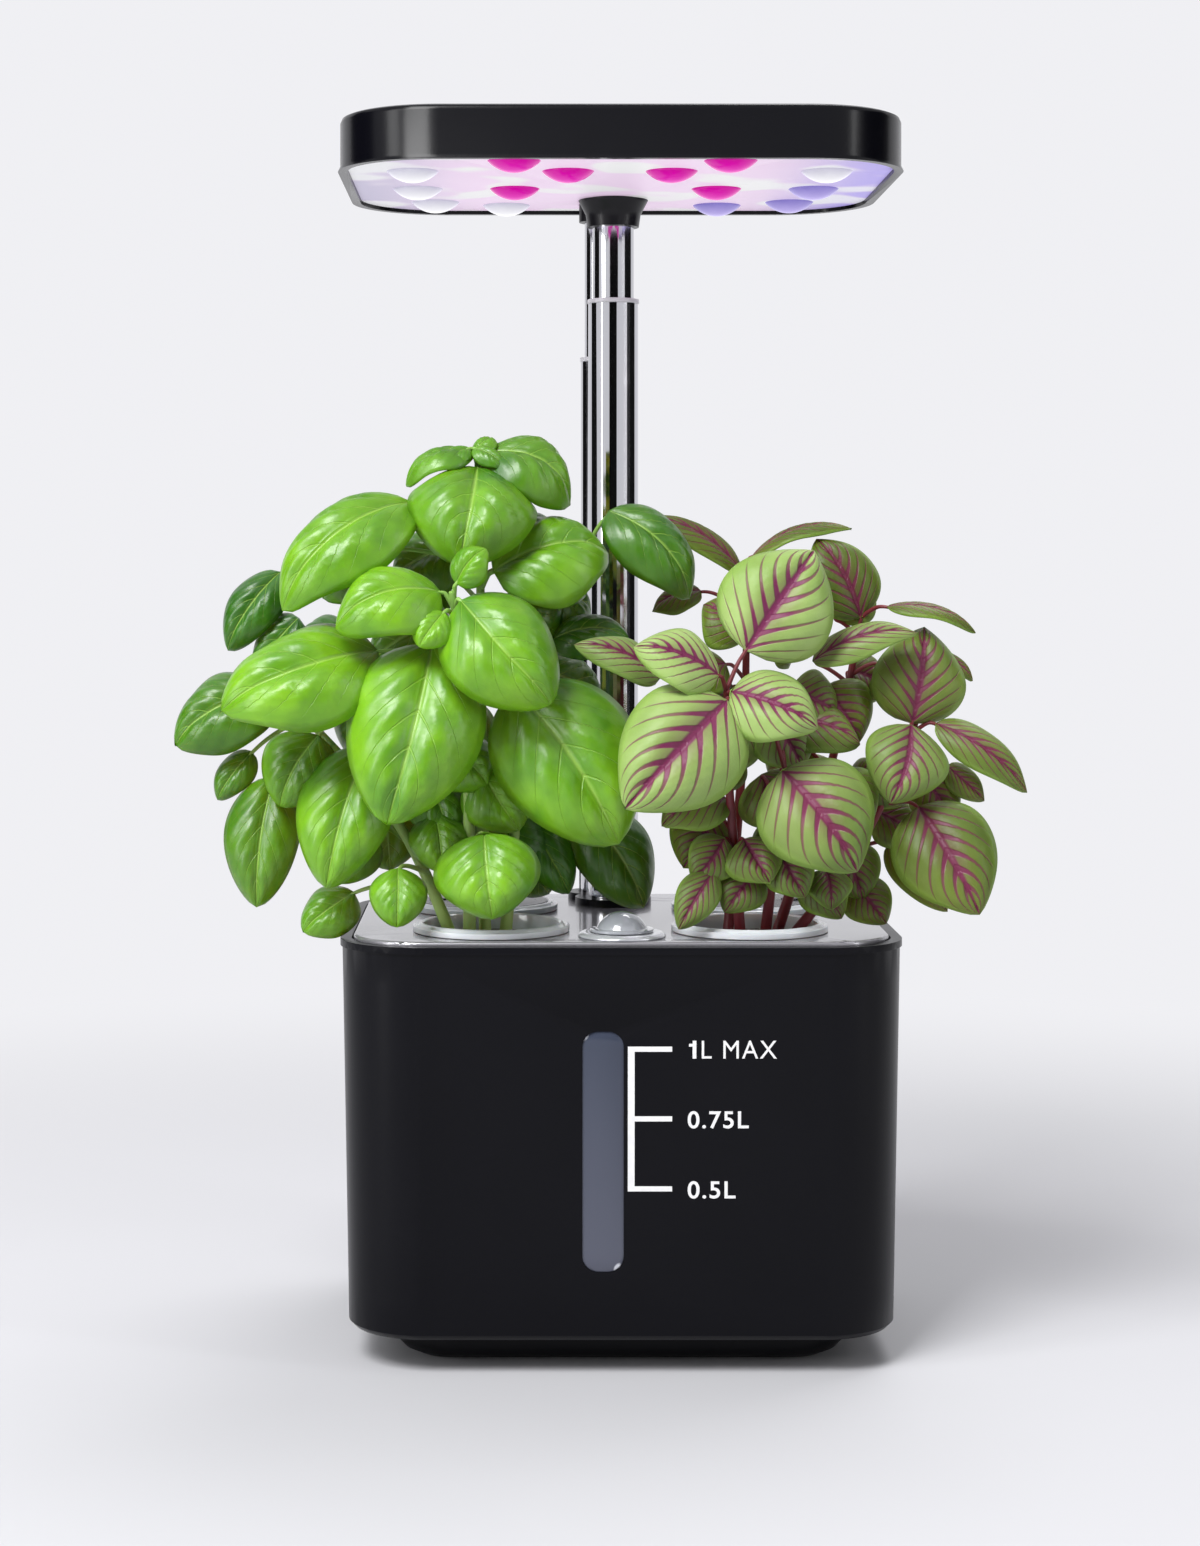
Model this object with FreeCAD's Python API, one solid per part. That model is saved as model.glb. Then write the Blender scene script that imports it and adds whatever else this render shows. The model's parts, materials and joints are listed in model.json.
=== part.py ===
import FreeCAD, Part
import math
import os

# Countertop hydroponic garden: a water tank on a plinth, a lift-off deck with four net pots,
# a pump under the deck and a grow lamp on two telescopic posts. Millimetres, +Z up.
# The origin is the middle of the footprint, on the surface that the garden stands on.

os.makedirs("parts", exist_ok=True)

# Clearances
seat_gap = 0.2
side_clear = 0.5
running_clear = 0.06
screw_clear = 0.05

# Tank
tank_width = 144.6
tank_depth = 112.0
tank_height = 99.0
tank_corner = 22.0
tank_draft = 1.75
tank_wall = 2.4
tank_floor = 2.7
foot_round = 1.4
lip_height = 1.8
lip_proud = 0.5
ledge_width = 2.0
ledge_height = 1.5
ledge_taper = 3.0

# Plinth, its screws and its pads
plinth_width = 119.0
plinth_depth = 91.0
plinth_corner = 16.0
plinth_height = 8.2
plinth_wall = 2.0
plinth_floor = 3.0
plinth_tuck = 7.0
pad_radius = 4.5
pad_thickness = 1.6
pad_stand = 0.8
pad_spread_x = 40.0
pad_spread_y = 27.0
plinth_screw_x = 24.0
plinth_screw_y = 27.0
screw_head_radius = 2.6
screw_head_height = 1.5
screw_shank_radius = 1.25
screw_bite = 4.0
boss_wall = 2.4

# Level window in the front wall
window_width = 10.5
window_height = 60.5
window_corner = 4.0
window_x = -5.2
window_middle_z = 56.7
window_recess = 0.3
window_flange = 2.2
window_flange_thickness = 1.4
gasket_thickness = 0.6

# Deck
deck_thickness = 2.4
deck_proud = 1.0
deck_edge_round = 0.8
deck_seal_thickness = 0.8
seal_inset = 0.3
skirt_wall = 1.6
skirt_drop = 5.0
skirt_inset = 6.0

# Net pots
pot_rim_radius = 20.3
pot_mouth_radius = 18.2
pot_foot_radius = 12.5
pot_depth = 40.0
pot_wall = 1.2
pot_lip_height = 2.2
pot_slots = 10
pot_slot_width = 4.0
pot_slot_height = 22.0
pot_foot_hole_radius = 2.2
pot_clear = 0.35
well_wall = 1.2
well_drop = 7.0
front_pot_x = 33.5
front_pot_margin = 23.1
rear_pot_x = 36.0
pot_pitch = 46.5
sponge_height = 37.0
sponge_drop = 4.0
sponge_clear = 0.3
cover_thickness = 1.2
cover_dish = 2.4
cover_tab_radius = 2.6

# Filling port
port_margin = 11.6
port_flange_radius = 11.2
port_flange_height = 1.2
port_wall = 1.6
port_bore_radius = 6.6
port_throat = 16.0
cap_knob_radius = 6.5
cap_knob_height = 4.2
cap_plug_length = 6.0
cap_clear = 0.3
ring_section = 0.7

# Telescopic posts
post_margin = 23.6
post_radius = 7.0
post_tube_wall = 0.8
post_inner_radius = 5.8
post_top_z = 277.0
slim_x = -3.6
slim_margin = 10.6
slim_radius = 5.2
slim_inner_radius = 4.1
slim_top_z = 261.7
inner_tube_wall = 0.7
inner_tube_foot_z = 155.0
bush_height = 10.0
bush_lip_height = 1.2
bush_lip_proud = 0.25
slider_height = 6.0
socket_wall = 2.4
socket_floor = 2.4
socket_depth = 22.0
socket_collar = 2.0

# Power inlet behind the posts
inlet_width = 11.0
inlet_depth = 7.0
inlet_height = 10.0
inlet_bore_radius = 3.1
inlet_barrel_length = 5.2
inlet_barrel_radius = 4.2
inlet_pin_radius = 1.0
inlet_floor = 1.2

# Pump under the deck
pump_width = 22.0
pump_length = 30.0
pump_height = 22.0
pump_corner = 4.0
pump_wall = 1.8
pump_post_distance = 23.0
pump_foot_gap = 3.0
pump_cover_thickness = 2.0
pump_slots = 4
pump_slot_width = 1.6
pump_slot_pitch = 2.8
pump_slot_margin = 3.6
rotor_radius = 6.5
rotor_offset = 5.0
rotor_height = 9.0
rotor_blades = 6
rotor_shaft_radius = 1.0
riser_radius = 3.2
riser_wall = 0.8
spout_length = 9.0

# Control box under the deck
box_width = 44.0
box_depth = 17.0
box_height = 12.0
box_wall = 1.6
box_lid = 1.6
box_pump_distance = 13.5
board_thickness = 1.2
chip_height = 2.4

# Lamp
lamp_width = 146.4
lamp_depth = 114.0
lamp_height = 13.9
lamp_corner = 27.0
lamp_bottom_z = 305.4
lamp_wall = 1.8
lamp_top = 1.8
lamp_edge_round = 1.6
lamp_lip = 0.6
panel_recess = 1.0
panel_thickness = 1.2
panel_clear = 0.2
led_board_thickness = 1.2
lens_radius = 6.8
lens_height = 3.0
lamp_post_margin = 28.0
lens_front_margin = 12.0
lens_second_margin = 31.0
lens_middle_margin = 49.0
lens_corner_margin = 21.0
lens_rear_margin = 14.0
lens_inner_x = 13.5
lens_outer_x = 27.5
lens_end_x = 54.0
lens_corner_x = 50.0
lens_rear_x = 30.0
bracket_flare_radius = 9.8
bracket_neck_radius = 7.2
bracket_flare_height = 7.0
bracket_plate_width = 34.0
bracket_plate_thickness = 3.0
bracket_screw_x = 13.0
bracket_screw_y = 7.5
button_radius = 4.5
button_proud = 0.9
button_clear = 0.25
button_guide = 2.0
button_flange = 0.8
button_travel = 0.8
button_x = 40.0
button_margin = 17.0

# Heights that follow
tank_base_z = pad_stand + plinth_height
rim_z = tank_base_z + tank_height
deck_top_z = rim_z + deck_proud
deck_under_z = deck_top_z - deck_thickness
ledge_z = deck_under_z - deck_seal_thickness - seat_gap
floor_z = tank_base_z + tank_floor
rim_inset = lip_proud + tank_wall
deck_width = tank_width - 2 * (rim_inset + side_clear)
deck_depth = tank_depth - 2 * (rim_inset + side_clear)
deck_corner = tank_corner - rim_inset - side_clear
front_pot_y = front_pot_margin - deck_depth / 2
rear_pot_y = front_pot_y + pot_pitch
port_y = port_margin - deck_depth / 2
post_y = deck_depth / 2 - post_margin
slim_y = deck_depth / 2 - slim_margin
pump_y = post_y - pump_post_distance
box_y = pump_y - box_pump_distance
pot_hole_radius = pot_mouth_radius + pot_wall / 2 + pot_clear
pot_seat_z = deck_top_z + seat_gap
pot_rim_z = pot_seat_z + pot_lip_height
sponge_top_z = pot_rim_z - sponge_drop
lamp_top_z = lamp_bottom_z + lamp_height
lamp_inner_top_z = lamp_top_z - lamp_top
panel_z = lamp_bottom_z + panel_recess
board_z = panel_z + panel_thickness
socket_foot_z = deck_top_z - socket_depth
lamp_rear_y = post_y + lamp_post_margin
lamp_y = lamp_rear_y - lamp_depth / 2
lamp_front_y = lamp_rear_y - lamp_depth
button_y = lamp_rear_y - button_margin
port_top_z = deck_top_z + port_flange_height
button_flange_z = lamp_inner_top_z - button_guide - seat_gap - button_flange


def vec(x, y, z):
    return FreeCAD.Vector(x, y, z)


def save(name, shape):
    """Write one sub-part under its own name."""
    shape.exportStep("parts/" + name + ".step")
    solids = shape.Solids
    print(name, len(solids), "solid(s)", round(sum(s.Volume for s in solids), 1), "mm3", shape.isValid())


def join(shapes):
    """One solid from pieces that meet."""
    whole = shapes[0].fuse(shapes[1:]) if len(shapes) > 1 else shapes[0]
    return whole.removeSplitter()


def group(shapes):
    """Separate solids kept under one name."""
    return Part.makeCompound(shapes)


def rounded_wire(width, depth, radius, z, x=0.0, y=0.0):
    """A level rounded rectangle, anticlockwise."""
    half_x = width / 2
    half_y = depth / 2
    cut = radius * (1 - math.sqrt(0.5))
    corners = []
    for turn, (side_x, side_y) in enumerate([(1, -1), (1, 1), (-1, 1), (-1, -1)]):
        along = vec(x + side_x * (half_x - radius), y + side_y * half_y, z)
        middle = vec(x + side_x * (half_x - cut), y + side_y * (half_y - cut), z)
        across = vec(x + side_x * half_x, y + side_y * (half_y - radius), z)
        corners.append((along, middle, across) if turn % 2 == 0 else (across, middle, along))
    edges = []
    for turn, (start, middle, end) in enumerate(corners):
        edges.append(Part.Arc(start, middle, end).toShape())
        edges.append(Part.makeLine(end, corners[(turn + 1) % 4][0]))
    return Part.Wire(edges)


def loft(wires):
    return Part.makeLoft(wires, True, True)


def slab(width, depth, radius, low, high, x=0.0, y=0.0):
    """A level plate with round corners."""
    face = Part.Face(rounded_wire(width, depth, radius, low, x, y))
    return face.extrude(vec(0, 0, high - low))


def disc(radius, low, high, x=0.0, y=0.0):
    return Part.makeCylinder(radius, high - low, vec(x, y, low))


def tube(outer, inner, low, high, x=0.0, y=0.0):
    return disc(outer, low, high, x, y).cut(disc(inner, low, high, x, y))


def turned(profile, x=0.0, y=0.0):
    """A solid of revolution from radius and height pairs."""
    points = [vec(x + radius, y, z) for radius, z in profile]
    face = Part.Face(Part.makePolygon(points + points[:1]))
    solid = face.revolve(vec(x, y, 0), vec(0, 0, 1), 360)
    if solid.Volume < 0:
        solid.reverse()
    return solid


def dome(radius, height, z, x, y, up):
    """A spherical cap on a level face, upwards or downwards."""
    ball = (radius * radius + height * height) / (2 * height)
    side = 1 if up else -1
    centre = vec(x, y, z + side * (height - ball))
    keep_low = z if up else z - height
    return Part.makeSphere(ball, centre).common(disc(radius + 1, keep_low, keep_low + height, x, y))


def four_places(spread_x, spread_y):
    return [(side_x * spread_x, side_y * spread_y) for side_x in (-1, 1) for side_y in (-1, 1)]


def tank_inset(z):
    """How far the drafted wall stands in from the rim lip at a height."""
    return lip_proud + tank_draft * (rim_z - z) / tank_height


def tank_wire(z, inset):
    return rounded_wire(tank_width - 2 * inset, tank_depth - 2 * inset, tank_corner - inset, z)


def tank_shell():
    """Drafted tank with a rim lip, a ledge for the deck and screw bosses below its floor."""
    lip_z = rim_z - lip_height
    knee_z = tank_base_z + foot_round
    body = loft([tank_wire(tank_base_z, tank_inset(tank_base_z) + foot_round),
                 tank_wire(knee_z, tank_inset(knee_z)),
                 tank_wire(lip_z, tank_inset(lip_z))])
    lip = loft([tank_wire(lip_z, 0), tank_wire(rim_z, 0)])
    taper_z = ledge_z - ledge_height - ledge_taper
    neck_inset = rim_inset + ledge_width
    hollow = loft([tank_wire(floor_z, tank_inset(floor_z) + tank_wall),
                   tank_wire(taper_z, tank_inset(taper_z) + tank_wall),
                   tank_wire(ledge_z - ledge_height, neck_inset),
                   tank_wire(ledge_z, neck_inset)])
    mouth = loft([tank_wire(ledge_z, rim_inset), tank_wire(rim_z, rim_inset)])
    shell = join([body, lip]).cut(hollow).cut(mouth).cut(window_cut())
    bosses = [plinth_boss(x, y) for x, y in four_places(plinth_screw_x, plinth_screw_y)]
    return join([shell] + bosses)


def plinth_boss(x, y):
    """Screw boss under the tank with a blind pilot hole."""
    low = pad_stand + plinth_floor
    post = disc(screw_shank_radius + boss_wall, low, tank_base_z, x, y)
    return post.cut(disc(screw_shank_radius + screw_clear, low, low + screw_bite + 0.2, x, y))


def wall_place():
    """Frame on the outside of the front wall: X across, Y up the wall, Z outwards."""
    lean = math.degrees(math.atan(tank_draft / tank_height))
    front_y = -(tank_depth / 2 - tank_inset(window_middle_z))
    turn = FreeCAD.Rotation(vec(1, 0, 0), 90 + lean)
    return FreeCAD.Placement(vec(window_x, front_y, window_middle_z), turn)


def wall_slab(grow, near, far):
    """A rounded slab in the front wall, from one depth behind its outer face to another."""
    plate = slab(window_width + 2 * grow, window_height + 2 * grow, window_corner + grow, -far, -near)
    plate.Placement = wall_place()
    return plate


def window_cut():
    return wall_slab(0, -2 * tank_wall, 2 * tank_wall)


def level_window():
    """Clear window that fills the slot, with a flange inside the tank."""
    back = tank_wall + gasket_thickness
    pane = wall_slab(-screw_clear, window_recess, back)
    flange = wall_slab(window_flange, back, back + window_flange_thickness)
    return join([pane, flange])


def window_gasket():
    back = tank_wall + gasket_thickness
    return wall_slab(window_flange, tank_wall, back).cut(wall_slab(0, tank_wall - 1, back + 1))


def base_plinth():
    """Shallow moulded tray that tucks in towards the worktop."""
    levels = [(pad_stand, 1.0), (pad_stand + plinth_height * 0.2, 0.5),
              (pad_stand + plinth_height * 0.5, 0.16), (tank_base_z, 0.0)]
    wires = [rounded_wire(plinth_width - 2 * plinth_tuck * share, plinth_depth - 2 * plinth_tuck * share,
                          plinth_corner - plinth_tuck * share, z) for z, share in levels]
    hollow_low = pad_stand + plinth_floor
    hollow_inset = plinth_wall + plinth_tuck * 0.5
    hollow = loft([rounded_wire(plinth_width - 2 * hollow_inset, plinth_depth - 2 * hollow_inset,
                                plinth_corner - hollow_inset, hollow_low),
                   rounded_wire(plinth_width - 2 * plinth_wall, plinth_depth - 2 * plinth_wall,
                                plinth_corner - plinth_wall, tank_base_z)])
    tray = loft(wires).cut(hollow)
    for x, y in four_places(plinth_screw_x, plinth_screw_y):
        tray = tray.cut(disc(screw_shank_radius + screw_clear, pad_stand, hollow_low, x, y))
        tray = tray.cut(disc(screw_head_radius + 0.3, pad_stand, pad_stand + screw_head_height + 0.2, x, y))
    for x, y in pad_places():
        tray = tray.cut(disc(pad_radius, pad_stand, pad_thickness, x, y))
    return tray


def pad_places():
    """One pad near each corner and one in the middle, under the weight of the water."""
    return four_places(pad_spread_x, pad_spread_y) + [(0, 0)]


def base_pads():
    return group([disc(pad_radius, 0, pad_thickness, x, y) for x, y in pad_places()])


def pan_screw(x, y, seat, bite, up):
    """Screw whose head lies against a seat face; the shank runs up or down from it."""
    side = 1 if up else -1
    head_low = seat - screw_head_height if up else seat
    head = disc(screw_head_radius, head_low, head_low + screw_head_height, x, y)
    shank = disc(screw_shank_radius, min(seat, seat + side * bite), max(seat, seat + side * bite), x, y)
    slot = Part.makeBox(3.2, 0.7, 0.6, vec(x - 1.6, y - 0.35, head_low if up else head_low + 0.9))
    return join([head, shank]).cut(slot)


def plinth_screws():
    seat = pad_stand + screw_head_height + 0.2
    bite = plinth_floor - screw_head_height - 0.2 + screw_bite
    return group([pan_screw(x, y, seat, bite, True) for x, y in four_places(plinth_screw_x, plinth_screw_y)])


def pot_places():
    return [(-front_pot_x, front_pot_y), (front_pot_x, front_pot_y),
            (-rear_pot_x, rear_pot_y), (rear_pot_x, rear_pot_y)]


def deck_plate():
    """Lift-off deck with a rounded edge, a stiffening skirt and a guide well under each pot."""
    plate = slab(deck_width, deck_depth, deck_corner, deck_under_z, deck_top_z)
    top_edges = [edge for edge in plate.Edges
                 if all(abs(vertex.Z - deck_top_z) < 0.01 for vertex in edge.Vertexes)]
    plate = plate.makeFillet(deck_edge_round, top_edges)
    low = deck_under_z - skirt_drop
    skirt_width = deck_width - 2 * skirt_inset
    skirt_depth = deck_depth - 2 * skirt_inset
    skirt_corner = deck_corner - skirt_inset
    skirt = slab(skirt_width, skirt_depth, skirt_corner, low, deck_under_z)
    skirt = skirt.cut(slab(skirt_width - 2 * skirt_wall, skirt_depth - 2 * skirt_wall,
                           skirt_corner - skirt_wall, low, deck_under_z))
    wells = [disc(pot_hole_radius + well_wall, deck_under_z - well_drop, deck_under_z, x, y)
             for x, y in pot_places()]
    whole = join([plate, skirt] + wells)
    for x, y in pot_places():
        whole = whole.cut(disc(pot_hole_radius, deck_under_z - well_drop - 1, deck_top_z + 1, x, y))
    whole = whole.cut(disc(port_bore_radius + port_wall, low - 1, deck_top_z + 1, 0, port_y))
    return whole.cut(socket_core(0, low - 1, deck_top_z + 1))


def deck_seal():
    """Soft ring stuck under the edge of the deck."""
    low = deck_under_z - deck_seal_thickness
    outer = seal_inset
    inner = ledge_width - side_clear
    ring = slab(deck_width - 2 * outer, deck_depth - 2 * outer, deck_corner - outer, low, deck_under_z)
    return ring.cut(slab(deck_width - 2 * inner, deck_depth - 2 * inner, deck_corner - inner, low, deck_under_z))


def basket(x, y):
    """Net pot with a double lip, side slots and drain holes."""
    throat_z = pot_seat_z
    foot_z = deck_top_z - pot_depth
    shoulder = pot_mouth_radius + pot_wall / 2
    inner = shoulder - pot_wall
    wall = turned([(pot_foot_radius, foot_z), (shoulder, throat_z), (pot_rim_radius, throat_z),
                   (pot_rim_radius, throat_z + 0.6 * pot_lip_height),
                   (pot_rim_radius - 0.5, throat_z + 0.72 * pot_lip_height),
                   (pot_rim_radius - 1.1, throat_z + 0.6 * pot_lip_height),
                   (pot_rim_radius - 1.6, throat_z + 0.9 * pot_lip_height),
                   (pot_rim_radius - 2.2, pot_rim_z), (inner, pot_rim_z - 0.4),
                   (inner, throat_z), (pot_foot_radius - pot_wall, foot_z + pot_wall),
                   (0, foot_z + pot_wall), (0, foot_z)], x, y)
    slot_low = foot_z + 4.0
    for count in range(pot_slots):
        bearing = 360.0 * count / pot_slots
        cutter = Part.makeBox(shoulder, pot_slot_width, pot_slot_height,
                              vec(x + pot_foot_radius / 2, y - pot_slot_width / 2, slot_low))
        cutter.rotate(vec(x, y, 0), vec(0, 0, 1), bearing)
        wall = wall.cut(cutter)
    for count in range(4):
        angle = math.radians(90.0 * count + 45)
        reach = pot_foot_radius / 2
        wall = wall.cut(disc(pot_foot_hole_radius, foot_z - 1, foot_z + 3,
                             x + reach * math.cos(angle), y + reach * math.sin(angle)))
    return wall


def sponge_radius(z):
    """Radius that clears the tapering basket at a height."""
    foot_z = deck_top_z - pot_depth
    share = (z - foot_z) / (pot_seat_z - foot_z)
    wall_radius = pot_foot_radius + (pot_mouth_radius + pot_wall / 2 - pot_foot_radius) * min(share, 1.0)
    return wall_radius - pot_wall * 1.1 - sponge_clear


def sponge(x, y):
    """Tapered growing sponge wedged in the basket."""
    low = sponge_top_z - sponge_height
    return turned([(0, low), (sponge_radius(low), low), (sponge_radius(pot_seat_z - 2), sponge_top_z - 2),
                   (sponge_radius(pot_seat_z) - 1.2, sponge_top_z), (0, sponge_top_z)], x, y)


def pot_cover(x, y):
    """Dished cap that closes an empty pot, with a lifting tab on its outer side."""
    inner = pot_mouth_radius - pot_wall / 2 - 0.15
    low = pot_seat_z + cover_thickness
    dish = turned([(0, low), (inner - cover_dish, low), (inner, pot_rim_z - 0.4), (inner, pot_rim_z),
                   (inner - 1.6, pot_rim_z), (inner - cover_dish - 1.2, low + cover_thickness),
                   (0, low + cover_thickness)], x, y)
    side = 1 if x > 0 else -1
    tab_x = x + side * (inner - cover_dish - cover_tab_radius)
    tab = disc(cover_tab_radius, low + cover_thickness / 2, pot_rim_z + 0.6, tab_x, y)
    return join([dish, tab])


def port_collar():
    """Filling port: flange on the deck and a throat through it."""
    low = deck_top_z - port_throat
    outer = port_bore_radius + port_wall
    return turned([(port_bore_radius, low), (outer, low), (outer, deck_top_z),
                   (port_flange_radius, deck_top_z), (port_flange_radius, deck_top_z + 0.5),
                   (port_flange_radius - 0.9, port_top_z), (port_bore_radius + 0.5, port_top_z),
                   (port_bore_radius, port_top_z - 0.5)], 0, port_y)


def fill_cap():
    """Domed knob over a plug with a groove for the sealing ring."""
    seat = port_top_z + seat_gap
    plug_radius = port_bore_radius - cap_clear
    low = seat - cap_plug_length
    groove_low = low + 1.6
    groove = plug_radius - ring_section
    plug = turned([(0, low), (plug_radius - 0.5, low), (plug_radius, low + 0.5), (plug_radius, groove_low),
                   (groove, groove_low), (groove, groove_low + 2 * ring_section),
                   (plug_radius, groove_low + 2 * ring_section), (plug_radius, seat), (0, seat)], 0, port_y)
    rim = turned([(0, seat), (cap_knob_radius + 1.6, seat), (cap_knob_radius + 1.6, seat + 0.6),
                  (cap_knob_radius, seat + 0.8), (0, seat + 0.8)], 0, port_y)
    return join([plug, rim, dome(cap_knob_radius, cap_knob_height, seat + 0.8, 0, port_y, True)])


def cap_ring():
    """Sealing ring in the groove of the plug."""
    plug_radius = port_bore_radius - cap_clear
    groove_low = port_top_z + seat_gap - cap_plug_length + 1.6
    inner = plug_radius - ring_section
    outer = port_bore_radius - 0.1
    return tube(outer, inner, groove_low + 0.1, groove_low + 2 * ring_section - 0.1, 0, port_y)


def socket_core(grow, low, high):
    """Oblong block round both post holes, reaching back to the power inlet."""
    main = disc(post_radius + socket_wall + grow, low, high, 0, post_y)
    slim = disc(slim_radius + socket_wall + grow, low, high, slim_x, slim_y)
    return join([main, slim])


def post_socket():
    """Moulding that holds both posts through the deck, with the hood of the power inlet."""
    core = socket_core(-screw_clear, socket_foot_z, deck_top_z)
    collar = socket_core(1.2, deck_top_z, deck_top_z + socket_collar)
    tail_y = deck_depth / 2 - inlet_depth
    hood = Part.makeBox(inlet_width, inlet_depth, inlet_height, vec(slim_x - inlet_width / 2, tail_y, deck_top_z))
    whole = join([core, collar, hood])
    for x, y, radius in ((0, post_y, post_radius), (slim_x, slim_y, slim_radius)):
        whole = whole.cut(disc(radius, socket_foot_z + socket_floor, deck_top_z + inlet_height + 1, x, y))
        whole = whole.cut(disc(radius - 2.5, socket_foot_z - 1, socket_foot_z + socket_floor, x, y))
    bore = Part.makeCylinder(inlet_barrel_radius, inlet_barrel_length, inlet_middle(), vec(0, -1, 0))
    return whole.cut(bore)


def inlet_middle():
    return vec(slim_x, deck_depth / 2, deck_top_z + inlet_height / 2)


def power_inlet():
    """Socket barrel and centre pin that face backwards."""
    back = inlet_middle()
    barrel = Part.makeCylinder(inlet_barrel_radius, inlet_barrel_length, back, vec(0, -1, 0))
    barrel = barrel.cut(Part.makeCylinder(inlet_bore_radius, inlet_barrel_length - inlet_floor, back, vec(0, -1, 0)))
    pin_start = back + vec(0, -inlet_floor, 0)
    pin = Part.makeCylinder(inlet_pin_radius, inlet_barrel_length - inlet_floor, pin_start, vec(0, -1, 0))
    return join([barrel, pin])


def post_tube(radius, top_z, x, y):
    return tube(radius, radius - post_tube_wall, socket_foot_z + socket_floor, top_z, x, y)


def post_bush(radius, inner, top_z, x, y):
    """Guide bush in the mouth of an outer tube, with a thin lip on its rim."""
    fit = inner + running_clear
    seat = radius - post_tube_wall
    return turned([(fit, top_z - bush_height), (seat, top_z - bush_height), (seat, top_z),
                   (radius + bush_lip_proud, top_z), (radius + bush_lip_proud, top_z + bush_lip_height),
                   (fit, top_z + bush_lip_height)], x, y)


def inner_tube(radius, x, y):
    return tube(radius, radius - inner_tube_wall, inner_tube_foot_z, lamp_inner_top_z - bracket_plate_thickness, x, y)


def slider(radius, outer, x, y):
    """Guide shoe round the foot of an inner tube."""
    high = inner_tube_foot_z
    fit = outer - post_tube_wall - running_clear
    return turned([(radius - inner_tube_wall, high - 1.2), (fit, high - 1.2), (fit, high + slider_height),
                   (radius, high + slider_height), (radius, high), (radius - inner_tube_wall, high)], x, y)


def pump_low():
    return floor_z + pump_foot_gap


def pump_body():
    """Pump housing, open below, with a riser stub on top."""
    low = pump_low() + pump_cover_thickness
    high = pump_low() + pump_height
    shell = slab(pump_width, pump_length, pump_corner, low, high, 0, pump_y)
    room = slab(pump_width - 2 * pump_wall, pump_length - 2 * pump_wall, pump_corner - pump_wall,
                low, high - 2 * pump_wall, 0, pump_y)
    stub = disc(riser_radius + 1.4, high, high + 5, 0, pump_y)
    bore = disc(riser_radius, high - 2 * pump_wall, high + 5, 0, pump_y)
    return join([shell, stub]).cut(room).cut(bore)


def pump_cover():
    """Intake grille that closes the pump from below."""
    low = pump_low()
    plate = slab(pump_width, pump_length, pump_corner, low, low + pump_cover_thickness, 0, pump_y)
    start = pump_y - pump_length / 2 + pump_slot_margin
    for count in range(pump_slots):
        middle = start + count * pump_slot_pitch
        slot = slab(pump_width - 8, pump_slot_width, pump_slot_width / 2 - 0.05, low - 1,
                    low + pump_cover_thickness + 1, 0, middle)
        plate = plate.cut(slot)
    shaft = disc(rotor_shaft_radius, low + pump_cover_thickness, low + pump_cover_thickness + rotor_height + 1.5,
                 0, pump_y + rotor_offset)
    return join([plate, shaft])


def pump_rotor():
    """Bladed rotor on the shaft of the cover."""
    y = pump_y + rotor_offset
    low = pump_low() + pump_cover_thickness + 0.8
    hub = disc(rotor_shaft_radius + 1.4, low, low + rotor_height, 0, y)
    blades = []
    for count in range(rotor_blades):
        blade = Part.makeBox(rotor_radius - rotor_shaft_radius - 1.2, 0.9, rotor_height,
                             vec(rotor_shaft_radius + 1.2, y - 0.45, low))
        blade.rotate(vec(0, y, 0), vec(0, 0, 1), 360.0 * count / rotor_blades)
        blades.append(blade)
    return join([hub] + blades).cut(disc(rotor_shaft_radius + running_clear, low - 1, low + rotor_height + 1, 0, y))


def riser():
    """Pipe from the pump up to the deck, with a spout near its top."""
    low = pump_low() + pump_height
    pipe = tube(riser_radius, riser_radius - riser_wall, low, deck_under_z, 0, pump_y)
    level = deck_under_z - box_height - 9
    spout = Part.makeCylinder(riser_radius - 0.6, spout_length, vec(0, pump_y, level), vec(0, 1, 0))
    bore = Part.makeCylinder(riser_radius - 1.4, spout_length + 1, vec(0, pump_y, level), vec(0, 1, 0))
    inside = disc(riser_radius - riser_wall, low, deck_under_z, 0, pump_y)
    return join([pipe, spout.cut(inside)]).cut(bore)


def control_box():
    """Dry box under the deck for the timer board, open below."""
    low = deck_under_z - box_height
    shell = slab(box_width, box_depth, 3.0, low + box_lid, deck_under_z, 0, box_y)
    room = slab(box_width - 2 * box_wall, box_depth - 2 * box_wall, 1.4, low + box_lid,
                deck_under_z - box_wall, 0, box_y)
    return shell.cut(room).cut(box_keep())


def box_keep():
    """Room that the box leaves for the wells and the riser."""
    cutters = [disc(pot_hole_radius + well_wall + 0.3, deck_under_z - pot_depth, deck_under_z + 1, x, y)
               for x, y in pot_places()]
    cutters.append(disc(riser_radius + 0.3, deck_under_z - pot_depth, deck_under_z + 1, 0, pump_y))
    return join(cutters)


def control_lid():
    low = deck_under_z - box_height
    return slab(box_width, box_depth, 3.0, low, low + box_lid, 0, box_y).cut(box_keep())


def control_board():
    """Timer board with two chips and a row of terminals."""
    low = deck_under_z - box_height + box_lid
    width = 18.0
    depth = box_depth - 2 * box_wall - 1
    plate = Part.makeBox(width, depth, board_thickness, vec(-width / 2, box_y - depth / 2, low))
    top = low + board_thickness
    chips = [Part.makeBox(5, 5, chip_height, vec(place - 2.5, box_y - 2.5, top)) for place in (-4.5, 4.0)]
    return join([plate] + chips)


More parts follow.
